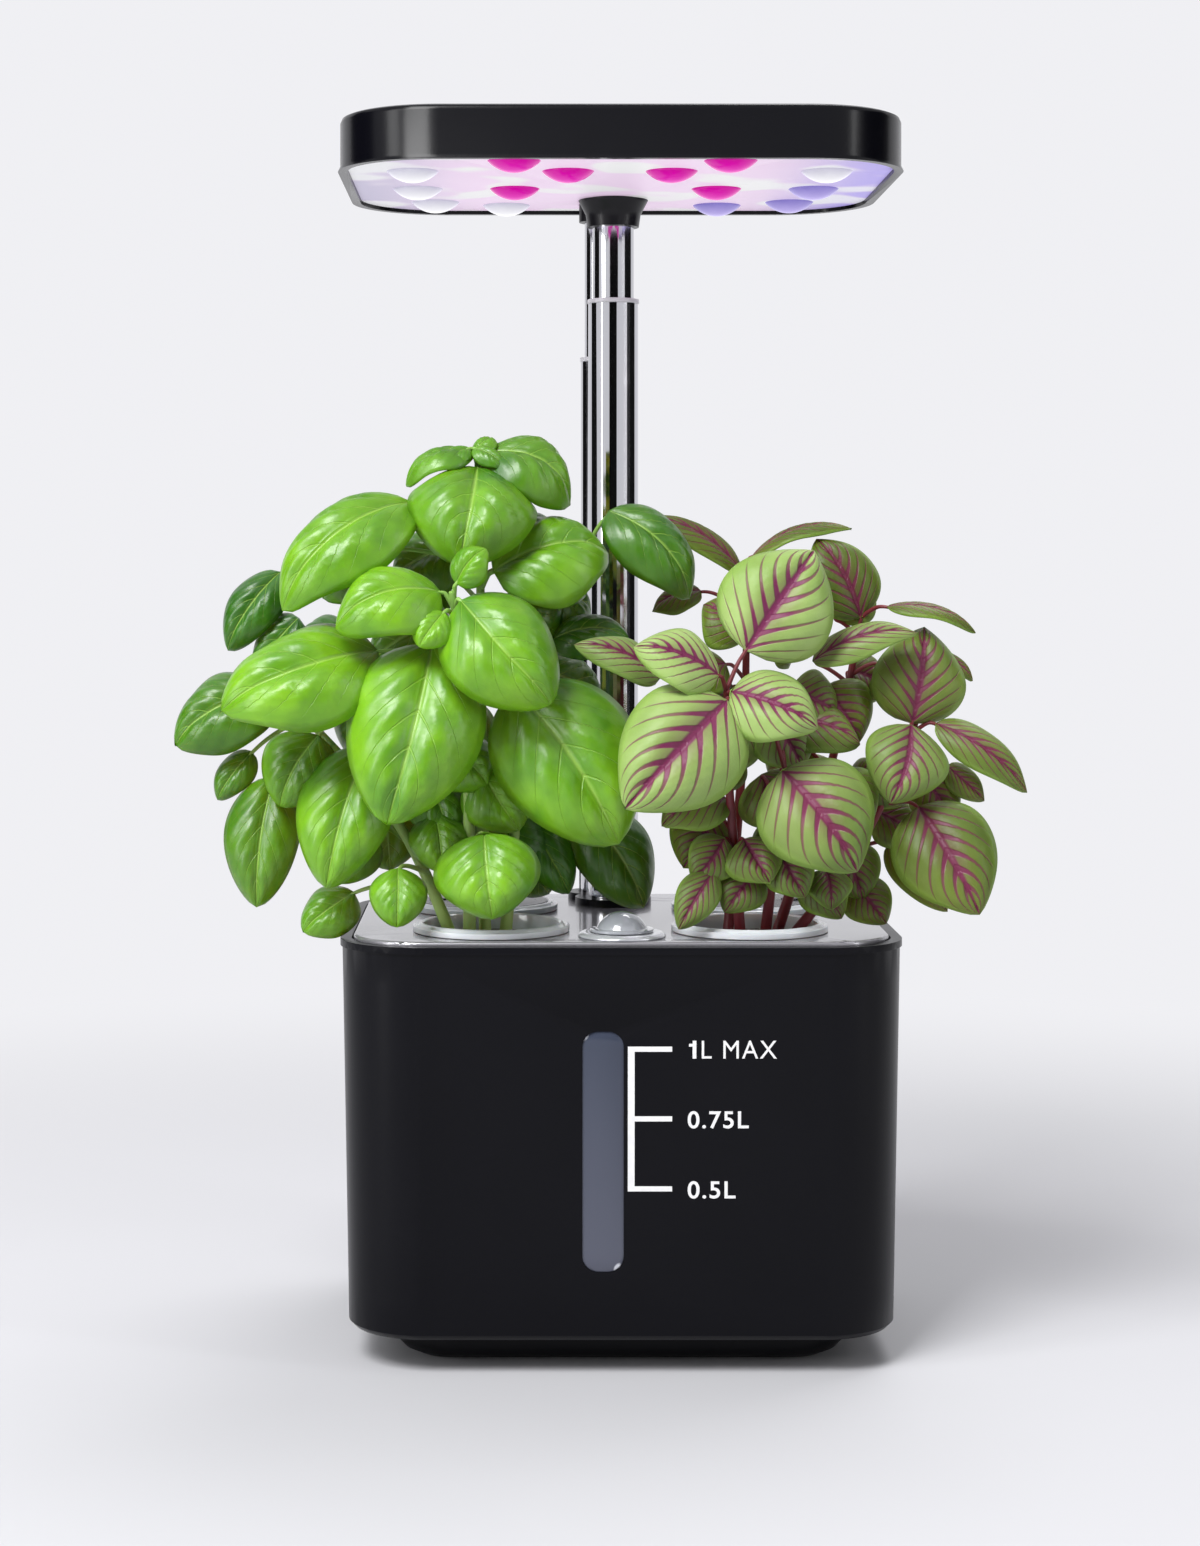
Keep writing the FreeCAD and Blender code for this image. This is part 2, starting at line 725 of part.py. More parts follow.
def lamp_wire(z, inset):
    return rounded_wire(lamp_width - 2 * inset, lamp_depth - 2 * inset, lamp_corner - inset, z, 0, lamp_y)


def lamp_shell():
    """Shallow hood with a rounded top edge and a slight outward lip along the bottom."""
    lip_z = lamp_bottom_z + 1.2
    round_z = lamp_top_z - lamp_edge_round
    soft = lamp_edge_round * (1 - math.sqrt(0.5))
    hood = loft([lamp_wire(lamp_bottom_z, 0), lamp_wire(lip_z, lamp_lip), lamp_wire(round_z, lamp_lip),
                 lamp_wire(lamp_top_z - soft, lamp_lip + soft), lamp_wire(lamp_top_z, lamp_lip + lamp_edge_round)])
    inside = lamp_lip + lamp_wall
    room = loft([lamp_wire(lamp_bottom_z, inside), lamp_wire(lamp_inner_top_z, inside)])
    pads = [disc(3.2, lamp_inner_top_z - 3.0, lamp_top_z - 0.4, x, y) for x, y in bracket_screw_places()]
    hood = join([hood.cut(room)] + [pad.common(hood) for pad in pads])
    for x, y in bracket_screw_places():
        hood = hood.cut(disc(screw_shank_radius + screw_clear, lamp_inner_top_z - 3.0, lamp_inner_top_z, x, y))
    guide_outer = button_radius + button_clear + 1.2
    guide_low = lamp_inner_top_z - button_guide
    hood = join([hood, disc(guide_outer, guide_low, lamp_inner_top_z, button_x, button_y)])
    return hood.cut(disc(button_radius + button_clear, guide_low, lamp_top_z, button_x, button_y))


def bracket_screw_places():
    return [(x, post_y + y) for x, y in four_places(bracket_screw_x, bracket_screw_y)]


def bracket_keep(grow, low, high):
    """Outline of the bracket's neck round both inner tubes."""
    main = disc(bracket_neck_radius + grow, low, high, 0, post_y)
    slim = disc(slim_inner_radius + 1.6 + grow, low, high, slim_x, slim_y)
    return join([main, slim])


def light_panel():
    """White panel recessed in the mouth of the hood."""
    inset = lamp_lip + lamp_wall + panel_clear / 2
    plate = slab(lamp_width - 2 * inset, lamp_depth - 2 * inset, lamp_corner - inset, panel_z, board_z, 0, lamp_y)
    return plate.cut(bracket_keep(0.3, panel_z - 1, board_z + 1))


def led_board():
    """Board above the panel, with a chip over each lens."""
    inset = lamp_lip + lamp_wall + 3.0
    high = board_z + led_board_thickness
    plate = slab(lamp_width - 2 * inset, lamp_depth - 2 * inset, lamp_corner - inset, board_z, high, 0, lamp_y)
    return plate.cut(bracket_keep(0.6, board_z - 1, high + 1))


def lenses(places):
    return group([dome(lens_radius, lens_height, panel_z, x, y, False) for x, y in places])


def both_sides(x, y):
    return [(-x, y), (x, y)]


def red_lens_places():
    return (both_sides(lens_outer_x, lamp_front_y + lens_front_margin)
            + both_sides(lens_inner_x, lamp_front_y + lens_second_margin)
            + both_sides(lens_outer_x, lamp_rear_y - lens_middle_margin))


def blue_lens_places():
    return [(lens_end_x, lamp_rear_y - lens_middle_margin), (lens_rear_x, lamp_rear_y - lens_rear_margin),
            (lens_corner_x, lamp_rear_y - lens_corner_margin)]


def white_lens_places():
    return (both_sides(lens_end_x, lamp_front_y + lens_second_margin)
            + [(-lens_end_x, lamp_rear_y - lens_middle_margin), (-lens_rear_x, lamp_rear_y - lens_rear_margin),
               (-lens_corner_x, lamp_rear_y - lens_corner_margin)])


def lamp_bracket():
    """Flared neck under the lamp and the plate that carries the hood."""
    plate_high = lamp_inner_top_z - 3.0
    plate_low = plate_high - bracket_plate_thickness
    flare_low = lamp_bottom_z - bracket_flare_height
    flare_top = panel_z - 0.4
    flare = turned([(post_inner_radius, flare_low), (bracket_neck_radius, flare_low),
                    (bracket_neck_radius + 0.5, flare_low + 3.5), (bracket_flare_radius, flare_top),
                    (post_inner_radius, flare_top)], 0, post_y)
    neck = bracket_keep(0, flare_low + 3.0, plate_high)
    plate = slab(bracket_plate_width, 2 * bracket_screw_y + 8, 4.0, plate_low, plate_high, 0, post_y)
    whole = join([flare, neck, plate])
    whole = whole.cut(disc(post_inner_radius, flare_low - 1, plate_high, 0, post_y))
    whole = whole.cut(disc(slim_inner_radius, flare_low - 1, plate_high, slim_x, slim_y))
    for x, y in bracket_screw_places():
        whole = whole.cut(disc(screw_shank_radius + screw_clear, plate_low - 1, plate_high + 1, x, y))
    return whole


def bracket_screws():
    seat = lamp_inner_top_z - 3.0 - bracket_plate_thickness
    return group([pan_screw(x, y, seat, bracket_plate_thickness + 2.6, True) for x, y in bracket_screw_places()])


def power_button():
    """Round push button with a retaining flange under the hood."""
    top = lamp_top_z + button_proud
    low = button_flange_z
    high = low + button_flange
    flange = disc(button_radius + 1.4, low, high, button_x, button_y)
    return join([flange, disc(button_radius, high, top, button_x, button_y)])


def button_switch():
    """Tactile switch on the board below the button."""
    low = board_z + led_board_thickness
    high = button_flange_z - button_travel - 0.1
    base = Part.makeBox(6, 6, high - low - 0.8, vec(button_x - 3, button_y - 3, low))
    return join([base, disc(1.7, high - 0.8, high, button_x, button_y)])


def leaf(base, tip, width, facing, arch):
    """Thin folded blade from a base to a tip; facing 0 looks up and 1 looks forwards."""
    start = vec(*base)
    end = vec(*tip)
    run = end - start
    ahead = FreeCAD.Vector(run).normalize()
    tilt = math.radians(90 * facing)
    outward = vec(0, -math.sin(tilt), math.cos(tilt))
    outward = (outward - ahead * outward.dot(ahead)).normalize()
    side = ahead.cross(outward)
    rise = arch * run.Length
    edge_left, spine, edge_right, keel = [], [], [], []
    for share, spread in ((0.16, 0.62), (0.38, 1.0), (0.62, 0.88), (0.83, 0.5)):
        centre = start + run * share + outward * (4 * rise * share * (1 - share))
        half = side * (width * spread / 2)
        sag = outward * (width * spread * 0.14)
        edge_left.append(centre - half - sag)
        edge_right.append(centre + half - sag)
        spine.append(centre)
        keel.append(centre - outward * leaf_thickness)
    tri = []
    count = len(spine)
    for row in range(count - 1):
        for a, b in ((edge_left, spine), (spine, edge_right), (edge_right, keel), (keel, edge_left)):
            tri.append((a[row], b[row], b[row + 1]))
            tri.append((a[row], b[row + 1], a[row + 1]))
    for a, b in ((edge_left, spine), (spine, edge_right), (edge_right, keel), (keel, edge_left)):
        tri.append((start, b[0], a[0]))
        tri.append((end, a[count - 1], b[count - 1]))
    faces = [Part.Face(Part.makePolygon([p, q, r, p])) for p, q, r in tri]
    solid = Part.Solid(Part.Shell(faces))
    if solid.Volume < 0:
        solid.reverse()
    return solid


def stem(points, foot, top):
    """Tapering stalk through a few points."""
    rings = []
    last = len(points) - 1
    for place, point in enumerate(points):
        before = vec(*points[max(place - 1, 0)])
        after = vec(*points[min(place + 1, last)])
        way = (after - before).normalize()
        if place == 0 and last > 1:
            way = vec(0, 0, 1)
        radius = foot + (top - foot) * place / last
        across = way.cross(vec(0.03, 1, 0.02)).normalize()
        up = across.cross(way)
        corners = [vec(*point) + across * (radius * math.cos(turn * math.pi / 3))
                   + up * (radius * math.sin(turn * math.pi / 3)) for turn in range(6)]
        rings.append(Part.makePolygon(corners + corners[:1]))
    return Part.makeLoft(rings, True, True)


leaf_thickness = 0.8
petiole_radius = 0.7
petiole_drop = 5.0
petiole_gap = 0.2
petiole_steps = 12

# The plants are measured with their pots at this place; they follow the pots from there.
plant_x = 33.5
plant_y = -29.5
plant_deck_z = 109.0
plant_rise = deck_top_z - plant_deck_z

# Each blade: base, tip, width, facing and arch, in millimetres.
basil_blades = [
    ((-38, -30, 233), (-56, -34, 226), 12, 0.15, 0.16),
    ((-35, -30, 233), (-12, -29, 221), 20, 0.4, 0.2),
    ((-37, -34, 229), (-41, -50, 206), 27, 0.8, 0.14),
    ((-54, -36, 220), (-87, -48, 194), 22, 0.45, 0.18),
    ((-33, -36, 202), (-3, -30, 209), 25, 0.55, 0.16),
    ((-3, -24, 218), (19, -27, 196), 17, 0.5, 0.16),
    ((-46, -52, 197), (-72, -59, 190), 19, 0.55, 0.16),
    ((-42, -55, 199), (-35, -57, 208), 9, 0.6, 0.1),
    ((-41, -55, 195), (-18, -63, 170), 23, 0.75, 0.14),
    ((-45, -57, 192), (-51, -62, 184), 9, 0.7, 0.1),
    ((-62, -44, 182), (-101, -56, 169), 25, 0.6, 0.15),
    ((-48, -50, 184), (-59, -64, 140), 28, 0.95, 0.1),
    ((-27, -44, 172), (-1, -52, 134), 30, 0.9, 0.1),
    ((-65, -38, 157), (-75, -50, 123), 20, 0.9, 0.1),
    ((-35, -50, 136), (-33, -57, 116), 22, 0.9, 0.1),
    ((-57, -46, 127), (-57, -52, 113), 12, 0.8, 0.1),
    ((-10, -16, 137), (7, -20, 116), 13, 0.7, 0.1),
    ((-89, -20, 202), (-103, -24, 182), 12, 0.6, 0.16),
    ((-91, -25, 171), (-116, -30, 158), 19, 0.6, 0.14),
    ((-96, -25, 155), (-105, -28, 143), 8, 0.7, 0.1),
    ((-90, -28, 149), (-94, -36, 116), 16, 0.9, 0.1),
    ((-69, -30, 119), (-82, -36, 110), 12, 0.6, 0.1),
    ((-18, -22, 184), (2, -26, 186), 13, 0.5, 0.12),
    ((-20, -16, 168), (4, -20, 158), 16, 0.6, 0.12),
    ((-50, -30, 150), (-44, -38, 134), 14, 0.8, 0.1),
    ((-25, -20, 139), (-13, -24, 118), 12, 0.7, 0.1),
]
amaranth_blades = [
    ((31, -48, 182), (49, -44, 208), 25, 0.85, 0.1),
    ((26, -55, 170), (0, -66, 144), 26, 0.85, 0.1),
    ((24, -53, 176), (3, -57, 184), 15, 0.6, 0.12),
    ((27, -53, 172), (48, -60, 164), 17, 0.7, 0.12),
    ((10, -40, 175), (-12, -42, 184), 11, 0.5, 0.12),
    ((40, -50, 152), (58, -60, 128), 25, 0.85, 0.1),
    ((63, -25, 190), (52, -22, 211), 16, 0.7, 0.1),
    ((35, -18, 206), (61, -20, 214), 9, 0.15, 0.12),
    ((33, -10, 202), (8, -9, 217), 9, 0.4, 0.12),
    ((75, -35, 163), (79, -30, 188), 20, 0.85, 0.1),
    ((49, -38, 179), (75, -42, 187), 10, 0.5, 0.12),
    ((74, -40, 163), (68, -48, 144), 18, 0.85, 0.1),
    ((81, -35, 163), (104, -40, 146), 10, 0.6, 0.12),
    ((76, -38, 142), (90, -50, 116), 22, 0.9, 0.1),
    ((69, -30, 193), (92, -32, 187), 8, 0.2, 0.12),
    ((23, -46, 126), (14, -50, 112), 9, 0.8, 0.1),
    ((70, -25, 131), (85, -30, 114), 9, 0.8, 0.1),
    ((41, -34, 163), (61, -40, 159), 15, 0.5, 0.12),
    ((27, -38, 144), (10, -44, 138), 13, 0.5, 0.12),
    ((31, -42, 134), (37, -50, 124), 13, 0.7, 0.1),
    ((52, -40, 126), (53, -46, 117), 10, 0.8, 0.1),
    ((60, -30, 145), (69, -32, 152), 11, 0.5, 0.12),
    ((42, -24, 189), (55, -25, 184), 13, 0.5, 0.12),
]
basil_stalks = [
    [(-35, -31), (-36, -31, 150), (-36, -31, 190), (-37, -31, 233)],
    [(-39, -35), (-39, -38, 140), (-40, -42, 170), (-43, -53, 197)],
    [(-30, -29), (-28, -26, 130), (-24, -22, 160), (-20, -20, 184)],
    [(-43, -31), (-52, -31, 130), (-68, -28, 150), (-89, -24, 171)],
]
amaranth_stalks = [
    [(31, -34), (29, -38, 130), (27, -42, 150), (26, -50, 172)],
    [(37, -32), (39, -36, 125), (40, -42, 140), (41, -47, 152)],
    [(40, -27), (50, -25, 135), (58, -24, 160), (63, -24, 190)],
    [(28, -25), (32, -16, 140), (34, -14, 170), (34, -14, 202)],
    [(42, -34), (56, -33, 122), (68, -33, 142), (76, -33, 162)],
]


def nearest_on_stalks(rows, place):
    """Point on a plant's stalks nearest to a place, above the sponge."""
    best = None
    for row in rows:
        points = [vec(*row[0], sponge_top_z - plant_rise)] + [vec(*point) for point in row[1:]]
        for low, high in zip(points, points[1:]):
            for step in range(petiole_steps + 1):
                point = low + (high - low) * (step / petiole_steps)
                away = point.distanceToPoint(place)
                if point.z > points[0].z + petiole_drop and (best is None or away < best[0]):
                    best = (away, point)
    return best[1]


def petiole(rows, blade):
    """Thin stalk from a plant's stem to just short of a blade's base."""
    base = vec(*blade[0])
    ahead = (vec(*blade[1]) - base).normalize()
    root = nearest_on_stalks(rows, base - vec(0, 0, petiole_drop))
    end = base - ahead * petiole_gap
    return stem([tuple(root), tuple(end)], petiole_radius, petiole_radius * 0.7)


def stalks(rows, foot, top, blade_rows):
    """Stalks that stand on the sponge, with a petiole to each blade."""
    rods = [stem([row[0] + (sponge_top_z - plant_rise,)] + row[1:], foot, top) for row in rows]
    rods += [petiole(rows, blade) for blade in blade_rows]
    return join(rods).cut(blades(blade_rows))


def blades(rows):
    return group([leaf(*row) for row in rows])


def planted(shape, side):
    """A plant's part, moved with its pot."""
    shape.translate(vec(side * (front_pot_x - plant_x), front_pot_y - plant_y, plant_rise))
    return shape


save("tank_shell", tank_shell())
save("base_plinth", base_plinth())
save("base_pads", base_pads())
save("plinth_screws", plinth_screws())
save("level_window", level_window())
save("window_gasket", window_gasket())
save("deck_plate", deck_plate())
save("deck_seal", deck_seal())
save("post_socket", post_socket())
save("power_inlet", power_inlet())
save("main_post_tube", post_tube(post_radius, post_top_z, 0, post_y))
save("slim_post_tube", post_tube(slim_radius, slim_top_z, slim_x, slim_y))
save("main_post_bush", post_bush(post_radius, post_inner_radius, post_top_z, 0, post_y))
save("slim_post_bush", post_bush(slim_radius, slim_inner_radius, slim_top_z, slim_x, slim_y))
save("port_collar", port_collar())
save("fill_cap", fill_cap())
save("cap_ring", cap_ring())
save("pump_body", pump_body())
save("pump_cover", pump_cover())
save("pump_rotor", pump_rotor())
save("riser_pipe", riser())
save("control_box", control_box())
save("control_lid", control_lid())
save("control_board", control_board())
save("main_inner_tube", inner_tube(post_inner_radius, 0, post_y))
save("slim_inner_tube", inner_tube(slim_inner_radius, slim_x, slim_y))
save("main_slider", slider(post_inner_radius, post_radius, 0, post_y))
save("slim_slider", slider(slim_inner_radius, slim_radius, slim_x, slim_y))
save("lamp_shell", lamp_shell())
save("light_panel", light_panel())
save("led_board", led_board())
save("red_lenses", lenses(red_lens_places()))
save("blue_lenses", lenses(blue_lens_places()))
save("white_lenses", lenses(white_lens_places()))
save("lamp_bracket", lamp_bracket())
save("bracket_screws", bracket_screws())
save("power_button", power_button())
save("button_switch", button_switch())
for pot_name, (pot_x, pot_y) in zip(("basil", "amaranth", "rear_left", "rear_right"), pot_places()):
    save(pot_name + "_basket", basket(pot_x, pot_y))
    save(pot_name + "_sponge", sponge(pot_x, pot_y))
for pot_name, (pot_x, pot_y) in list(zip(("basil", "amaranth", "rear_left", "rear_right"), pot_places()))[2:]:
    save(pot_name + "_cover", pot_cover(pot_x, pot_y))
save("basil_stems", planted(stalks(basil_stalks, 1.7, 0.9, basil_blades), -1))
save("basil_leaves", planted(blades(basil_blades), -1))
save("amaranth_stems", planted(stalks(amaranth_stalks, 1.5, 0.8, amaranth_blades), 1))
save("amaranth_leaves", planted(blades(amaranth_blades), 1))
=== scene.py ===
# %% [markdown]
# A countertop hydroponic garden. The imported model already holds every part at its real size.
# This lesson dresses those parts: rounded plastic casings, chrome posts, lit lenses and two leafy plants.
# Everything is in metres, with +Z up and the front towards -Y.

# %% Load the frame
import bpy
import bmesh
import json
import math
import random
from mathutils import Matrix, Vector

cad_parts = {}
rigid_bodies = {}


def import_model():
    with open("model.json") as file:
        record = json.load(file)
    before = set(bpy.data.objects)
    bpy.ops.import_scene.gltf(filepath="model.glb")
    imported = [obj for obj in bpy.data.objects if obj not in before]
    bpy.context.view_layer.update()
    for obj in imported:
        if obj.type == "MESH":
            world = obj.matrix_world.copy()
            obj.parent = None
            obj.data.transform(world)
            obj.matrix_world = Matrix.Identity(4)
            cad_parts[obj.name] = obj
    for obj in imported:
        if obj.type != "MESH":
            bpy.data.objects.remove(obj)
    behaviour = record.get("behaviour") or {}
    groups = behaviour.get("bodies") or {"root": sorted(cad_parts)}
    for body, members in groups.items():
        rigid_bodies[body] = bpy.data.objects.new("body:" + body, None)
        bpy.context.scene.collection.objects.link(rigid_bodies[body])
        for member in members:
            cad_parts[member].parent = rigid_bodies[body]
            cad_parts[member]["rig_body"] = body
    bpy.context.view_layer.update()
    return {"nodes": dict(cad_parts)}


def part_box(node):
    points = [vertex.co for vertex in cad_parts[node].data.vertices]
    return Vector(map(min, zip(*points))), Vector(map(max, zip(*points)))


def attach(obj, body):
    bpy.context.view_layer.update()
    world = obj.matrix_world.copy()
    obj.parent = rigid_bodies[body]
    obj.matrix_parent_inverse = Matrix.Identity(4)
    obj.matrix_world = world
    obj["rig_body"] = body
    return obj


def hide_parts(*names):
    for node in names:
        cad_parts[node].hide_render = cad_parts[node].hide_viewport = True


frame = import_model()
nodes = frame["nodes"]
mm = 0.001
print(len(nodes), "parts in the frame")

# %% [markdown]
# The photograph was taken level, about 0.7 m from the front of the tank and a little to its left.
# The picture is 1546 pixels tall, so the lens follows from a focal length in pixels.
# The deck and the tank are not centred on each other in the photograph, so the middle is set between them.

# %% The camera
image_width = 1200
image_height = 1546
focal_pixels = 2800
horizon_row = 568
axis_column = 524
film_width = 36
camera_place = (-0.025, -0.756, 0.203)
camera_data = bpy.data.cameras.new("front_camera")
camera_data.sensor_fit = "AUTO"
camera_data.sensor_width = film_width
camera_data.lens = focal_pixels / image_height * film_width
camera_data.shift_x = (image_width / 2 - axis_column) / image_height
camera_data.shift_y = (horizon_row - image_height / 2) / image_height
camera = bpy.data.objects.new("front_camera", camera_data)
camera.location = camera_place
camera.rotation_euler = (math.pi / 2, 0, 0)
bpy.context.scene.collection.objects.link(camera)
bpy.context.scene.camera = camera
print("lens", round(camera_data.lens, 1), "mm")

# %% [markdown]
# Shader maths reads best as plain sums, so one small class wraps a socket and lends it Python's operators.
# Each sum adds the Math node that an artist would place by hand.


# %% Sums on sockets
class Wave:
    """A number that varies over a surface."""

    def __init__(self, finish, socket):
        self.finish = finish
        self.socket = socket

    def math(self, operation, first, second=None):
        """One Math node, fed with one or two values."""
        values = [first] if second is None else [first, second]
        return self.finish.node("ShaderNodeMath", {"operation": operation}, dict(enumerate(values)))

    def __add__(self, other):
        return self.math("ADD", self, other)

    __radd__ = __add__

    def __mul__(self, other):
        return self.math("MULTIPLY", self, other)

    __rmul__ = __mul__

    def __sub__(self, other):
        return self.math("SUBTRACT", self, other)

    def __rsub__(self, other):
        return self.math("SUBTRACT", other, self)

    def __pow__(self, other):
        return self.math("POWER", self, other)

    def __truediv__(self, other):
        return self.math("DIVIDE", self, other)

    def size(self):
        return self.math("ABSOLUTE", self)

    def clamp(self):
        return self.math("MINIMUM", self.math("MAXIMUM", self, 0.0), 1.0)

    def sine(self):
        return self.math("SINE", self)

    def step(self, low, high):
        """0 below low, 1 above high and smooth between."""
        return self.finish.node("ShaderNodeMapRange", {"interpolation_type": "SMOOTHSTEP"},
                                {"Value": self, "From Min": low, "From Max": high})


# %% [markdown]
# A finish is one material. It starts with the Principled shader, and its one node method takes a node's
# type, its settings and what goes into its sockets. Colours are mixed with Mix nodes, because a Math node
# would turn them grey.


# %% The finish helper
class Finish:
    """A material being made for one of the garden's surfaces."""

    def __init__(self, name, **constants):
        self.material = bpy.data.materials.new(name)
        self.material.use_nodes = True
        self.tree = self.material.node_tree
        self.shader = self.tree.nodes["Principled BSDF"]
        for socket, value in constants.items():
            self.shader.inputs[socket.replace("_", " ")].default_value = value

    def node(self, kind, settings=None, sockets=None, out=0):
        """Any node, with its settings and what its sockets take; the result is one of its outputs."""
        made = self.tree.nodes.new(kind)
        for name, value in (settings or {}).items():
            setattr(made, name, value)
        for name, value in (sockets or {}).items():
            self.feed(made.inputs[name], value)
        return Wave(self, made.outputs[out])

    def feed(self, socket, value):
        """Link a varying value to a socket, or write a fixed one there."""
        if isinstance(value, Wave):
            self.tree.links.new(value.socket, socket)
        else:
            socket.default_value = value

    def set(self, socket, value):
        self.feed(self.shader.inputs[socket], value)
        return self

    def place(self):
        """Position in the part's own frame."""
        return self.node("ShaderNodeTexCoord", out=3)

    def axis(self, letter):
        parts = self.node("ShaderNodeSeparateXYZ", sockets={0: self.place()})
        return Wave(self, parts.socket.node.outputs["XYZ".index(letter)])

    def noise(self, scale, detail=2.0, stretch=(1, 1, 1), roughness=0.5):
        spot = self.node("ShaderNodeMapping", sockets={"Vector": self.place(), "Scale": stretch})
        return self.node("ShaderNodeTexNoise", sockets={"Vector": spot, "Scale": scale, "Detail": detail,
                                                        "Roughness": roughness})

    def blend(self, share, first, second):
        """Colour that goes from the first to the second with a share."""
        mixed = self.node("ShaderNodeMix", {"data_type": "RGBA"}, {0: share, 6: first, 7: second})
        return Wave(self, mixed.socket.node.outputs[2])

    def bump(self, height, strength, distance=0.0002):
        """Small relief from a height that varies."""
        normal = self.node("ShaderNodeBump",
                           sockets={"Height": height, "Strength": strength, "Distance": distance})
        return self.set("Normal", normal)


def paint(colour):
    """A colour with full cover, as a colour socket wants it."""
    return (*colour, 1.0)


def shade(colour, share):
    """A colour made darker or lighter by one factor."""
    return tuple(min(part * share, 1) for part in colour)


# %% [markdown]
# Moulded plastic is never one flat colour: its gloss wanders a little, fine dust settles in the grain
# and the surface has a faint orange peel. A small noise in colour, roughness and bump gives all three.


# %% Moulded plastics
def moulded(name, colour, roughness, spread=0.06, peel=0.04, shift=0.12, **constants):
    """Plastic with a wandering gloss and a faint orange peel."""
    finish = Finish(name, **constants)
    cloud = finish.noise(38.0, 3.0)
    grain = finish.noise(1400.0, 2.0)
    dust = 0.0006
    darker = tuple(part * (1 - shift) for part in colour)
    lighter = tuple(min(part * (1 + shift) + dust, 1) for part in colour)
    finish.set("Base Color", finish.blend(cloud, paint(darker), paint(lighter)))
    finish.set("Roughness", roughness + (cloud - 0.5) * spread + (grain - 0.5) * spread * 0.5)
    finish.bump(grain + cloud * 2.0, peel)
    return finish.material


tank_black = moulded("gloss_black_tank", (0.003, 0.003, 0.0048), 0.3, Specular_IOR_Level=0.12)
plinth_black = moulded("satin_black_plinth", (0.003, 0.003, 0.004), 0.42, Specular_IOR_Level=0.12)
hood_black = moulded("gloss_black_hood", (0.0015, 0.0015, 0.003), 0.2, Specular_IOR_Level=0.16)
trim_black = moulded("black_trim", (0.005, 0.005, 0.007), 0.28, Specular_IOR_Level=0.25)
dull_black = moulded("dull_black_moulding", (0.03, 0.03, 0.033), 0.55, spread=0.12)
box_grey = moulded("box_grey", (0.09, 0.09, 0.1), 0.5)
pale_nylon = moulded("pale_nylon", (0.72, 0.72, 0.74), 0.35)
milky_pipe = moulded("milky_pipe", (0.6, 0.64, 0.66), 0.3)
seal_black = moulded("seal_rubber", (0.022, 0.022, 0.022), 0.75, spread=0.1, peel=0.12)
board_green = moulded("board_green", (0.02, 0.13, 0.05), 0.4)
print("plastics ready")

# %% [markdown]
# The deck is silver-grey with tiny metal flakes under a clear gloss. A fine noise scatters the flakes
# and a coat gives the sharp reflections on top.


# %% Silver deck
def silver(name, colour, roughness):
    """Silver lacquer: metal flakes under a clear gloss."""
    finish = Finish(name, Coat_Weight=0.6, Coat_Roughness=0.08)
    flakes = finish.noise(5200.0, 1.0).step(0.45, 0.75)
    cloud = finish.noise(24.0, 3.0)
    base = finish.blend(cloud, paint(shade(colour, 0.9)), paint(colour))
    finish.set("Base Color", finish.blend(flakes * 0.35, base, paint(shade(colour, 1.3))))
    finish.set("Metallic", 0.35 + flakes * 0.3)
    finish.set("Roughness", roughness + (cloud - 0.5) * 0.08)
    finish.bump(flakes, 0.02)
    return finish.material


deck_silver = silver("silver_deck", (0.27, 0.265, 0.29), 0.26)
port_silver = silver("silver_port", (0.55, 0.56, 0.6), 0.18)
print("silver ready")

# %% [markdown]
# Chrome is a near mirror. What makes it look real are faint lengthwise polishing lines and smudges
# that open the reflection a little, so both go into roughness and a very weak bump.


# %% Chrome and steel
def polished(name, colour, roughness, lines):
    """Bright metal with lengthwise polishing lines and a few smudges."""
    finish = Finish(name, Metallic=1.0)
    draw = finish.noise(420.0, 1.0, (1, 1, 0.01))
    smudge = finish.noise(60.0, 4.0)
    finish.set("Base Color", finish.blend(smudge, paint(shade(colour, 0.93)), paint(colour)))
    finish.set("Roughness", roughness + draw * lines + smudge.step(0.55, 0.8) * 0.06)
    finish.bump(draw, 0.01)
    return finish.material


post_chrome = polished("post_chrome", (0.62, 0.62, 0.65), 0.05, 0.05)
plain_steel = polished("plain_steel", (0.55, 0.56, 0.58), 0.25, 0.2)
board_metal = polished("board_metal", (0.7, 0.7, 0.72), 0.35, 0.1)
print("metals ready")

# %% [markdown]
# The lamp's underside is a white panel that scatters light: brightest round the lenses and cooler
# towards the right end, where the violet lenses sit. Its glow is painted light from the lenses.


# %% Lit panel and lenses
def lit_panel():
    """White panel with a painted glow from the lenses, greyer at its left end and violet at its right."""
    finish = Finish("lit_panel", Roughness=0.4, Emission_Strength=0.5, Specular_IOR_Level=0.2)
    end_of_panel = 0.07
    across = finish.axis("X")
    violet = across.step(0.03, end_of_panel)
    grey = (0.0 - across).step(0.035, end_of_panel)
    painted_light_pool = finish.noise(42.0, 1.0).step(0.5, 0.62)
    painted_end_tint = (violet + grey).clamp() * (1.0 - painted_light_pool * 0.75)
    tint = finish.blend(violet, paint((0.52, 0.5, 0.68)), paint((0.4, 0.34, 0.95)))
    glow = finish.blend(painted_light_pool, paint((1.0, 0.78, 1.0)), paint((1.0, 1.0, 1.0)))
    glow = finish.blend(painted_end_tint * 0.85, glow, tint)
    # Painted light: this glow, and the base colour made from it, stand in for the lenses' light on the panel.
    finish.set("Emission Color", glow)
    finish.set("Base Color", finish.blend(0.62, glow, paint((0.12, 0.12, 0.13))))
    finish.bump(finish.noise(900.0), 0.04)
    return finish.material


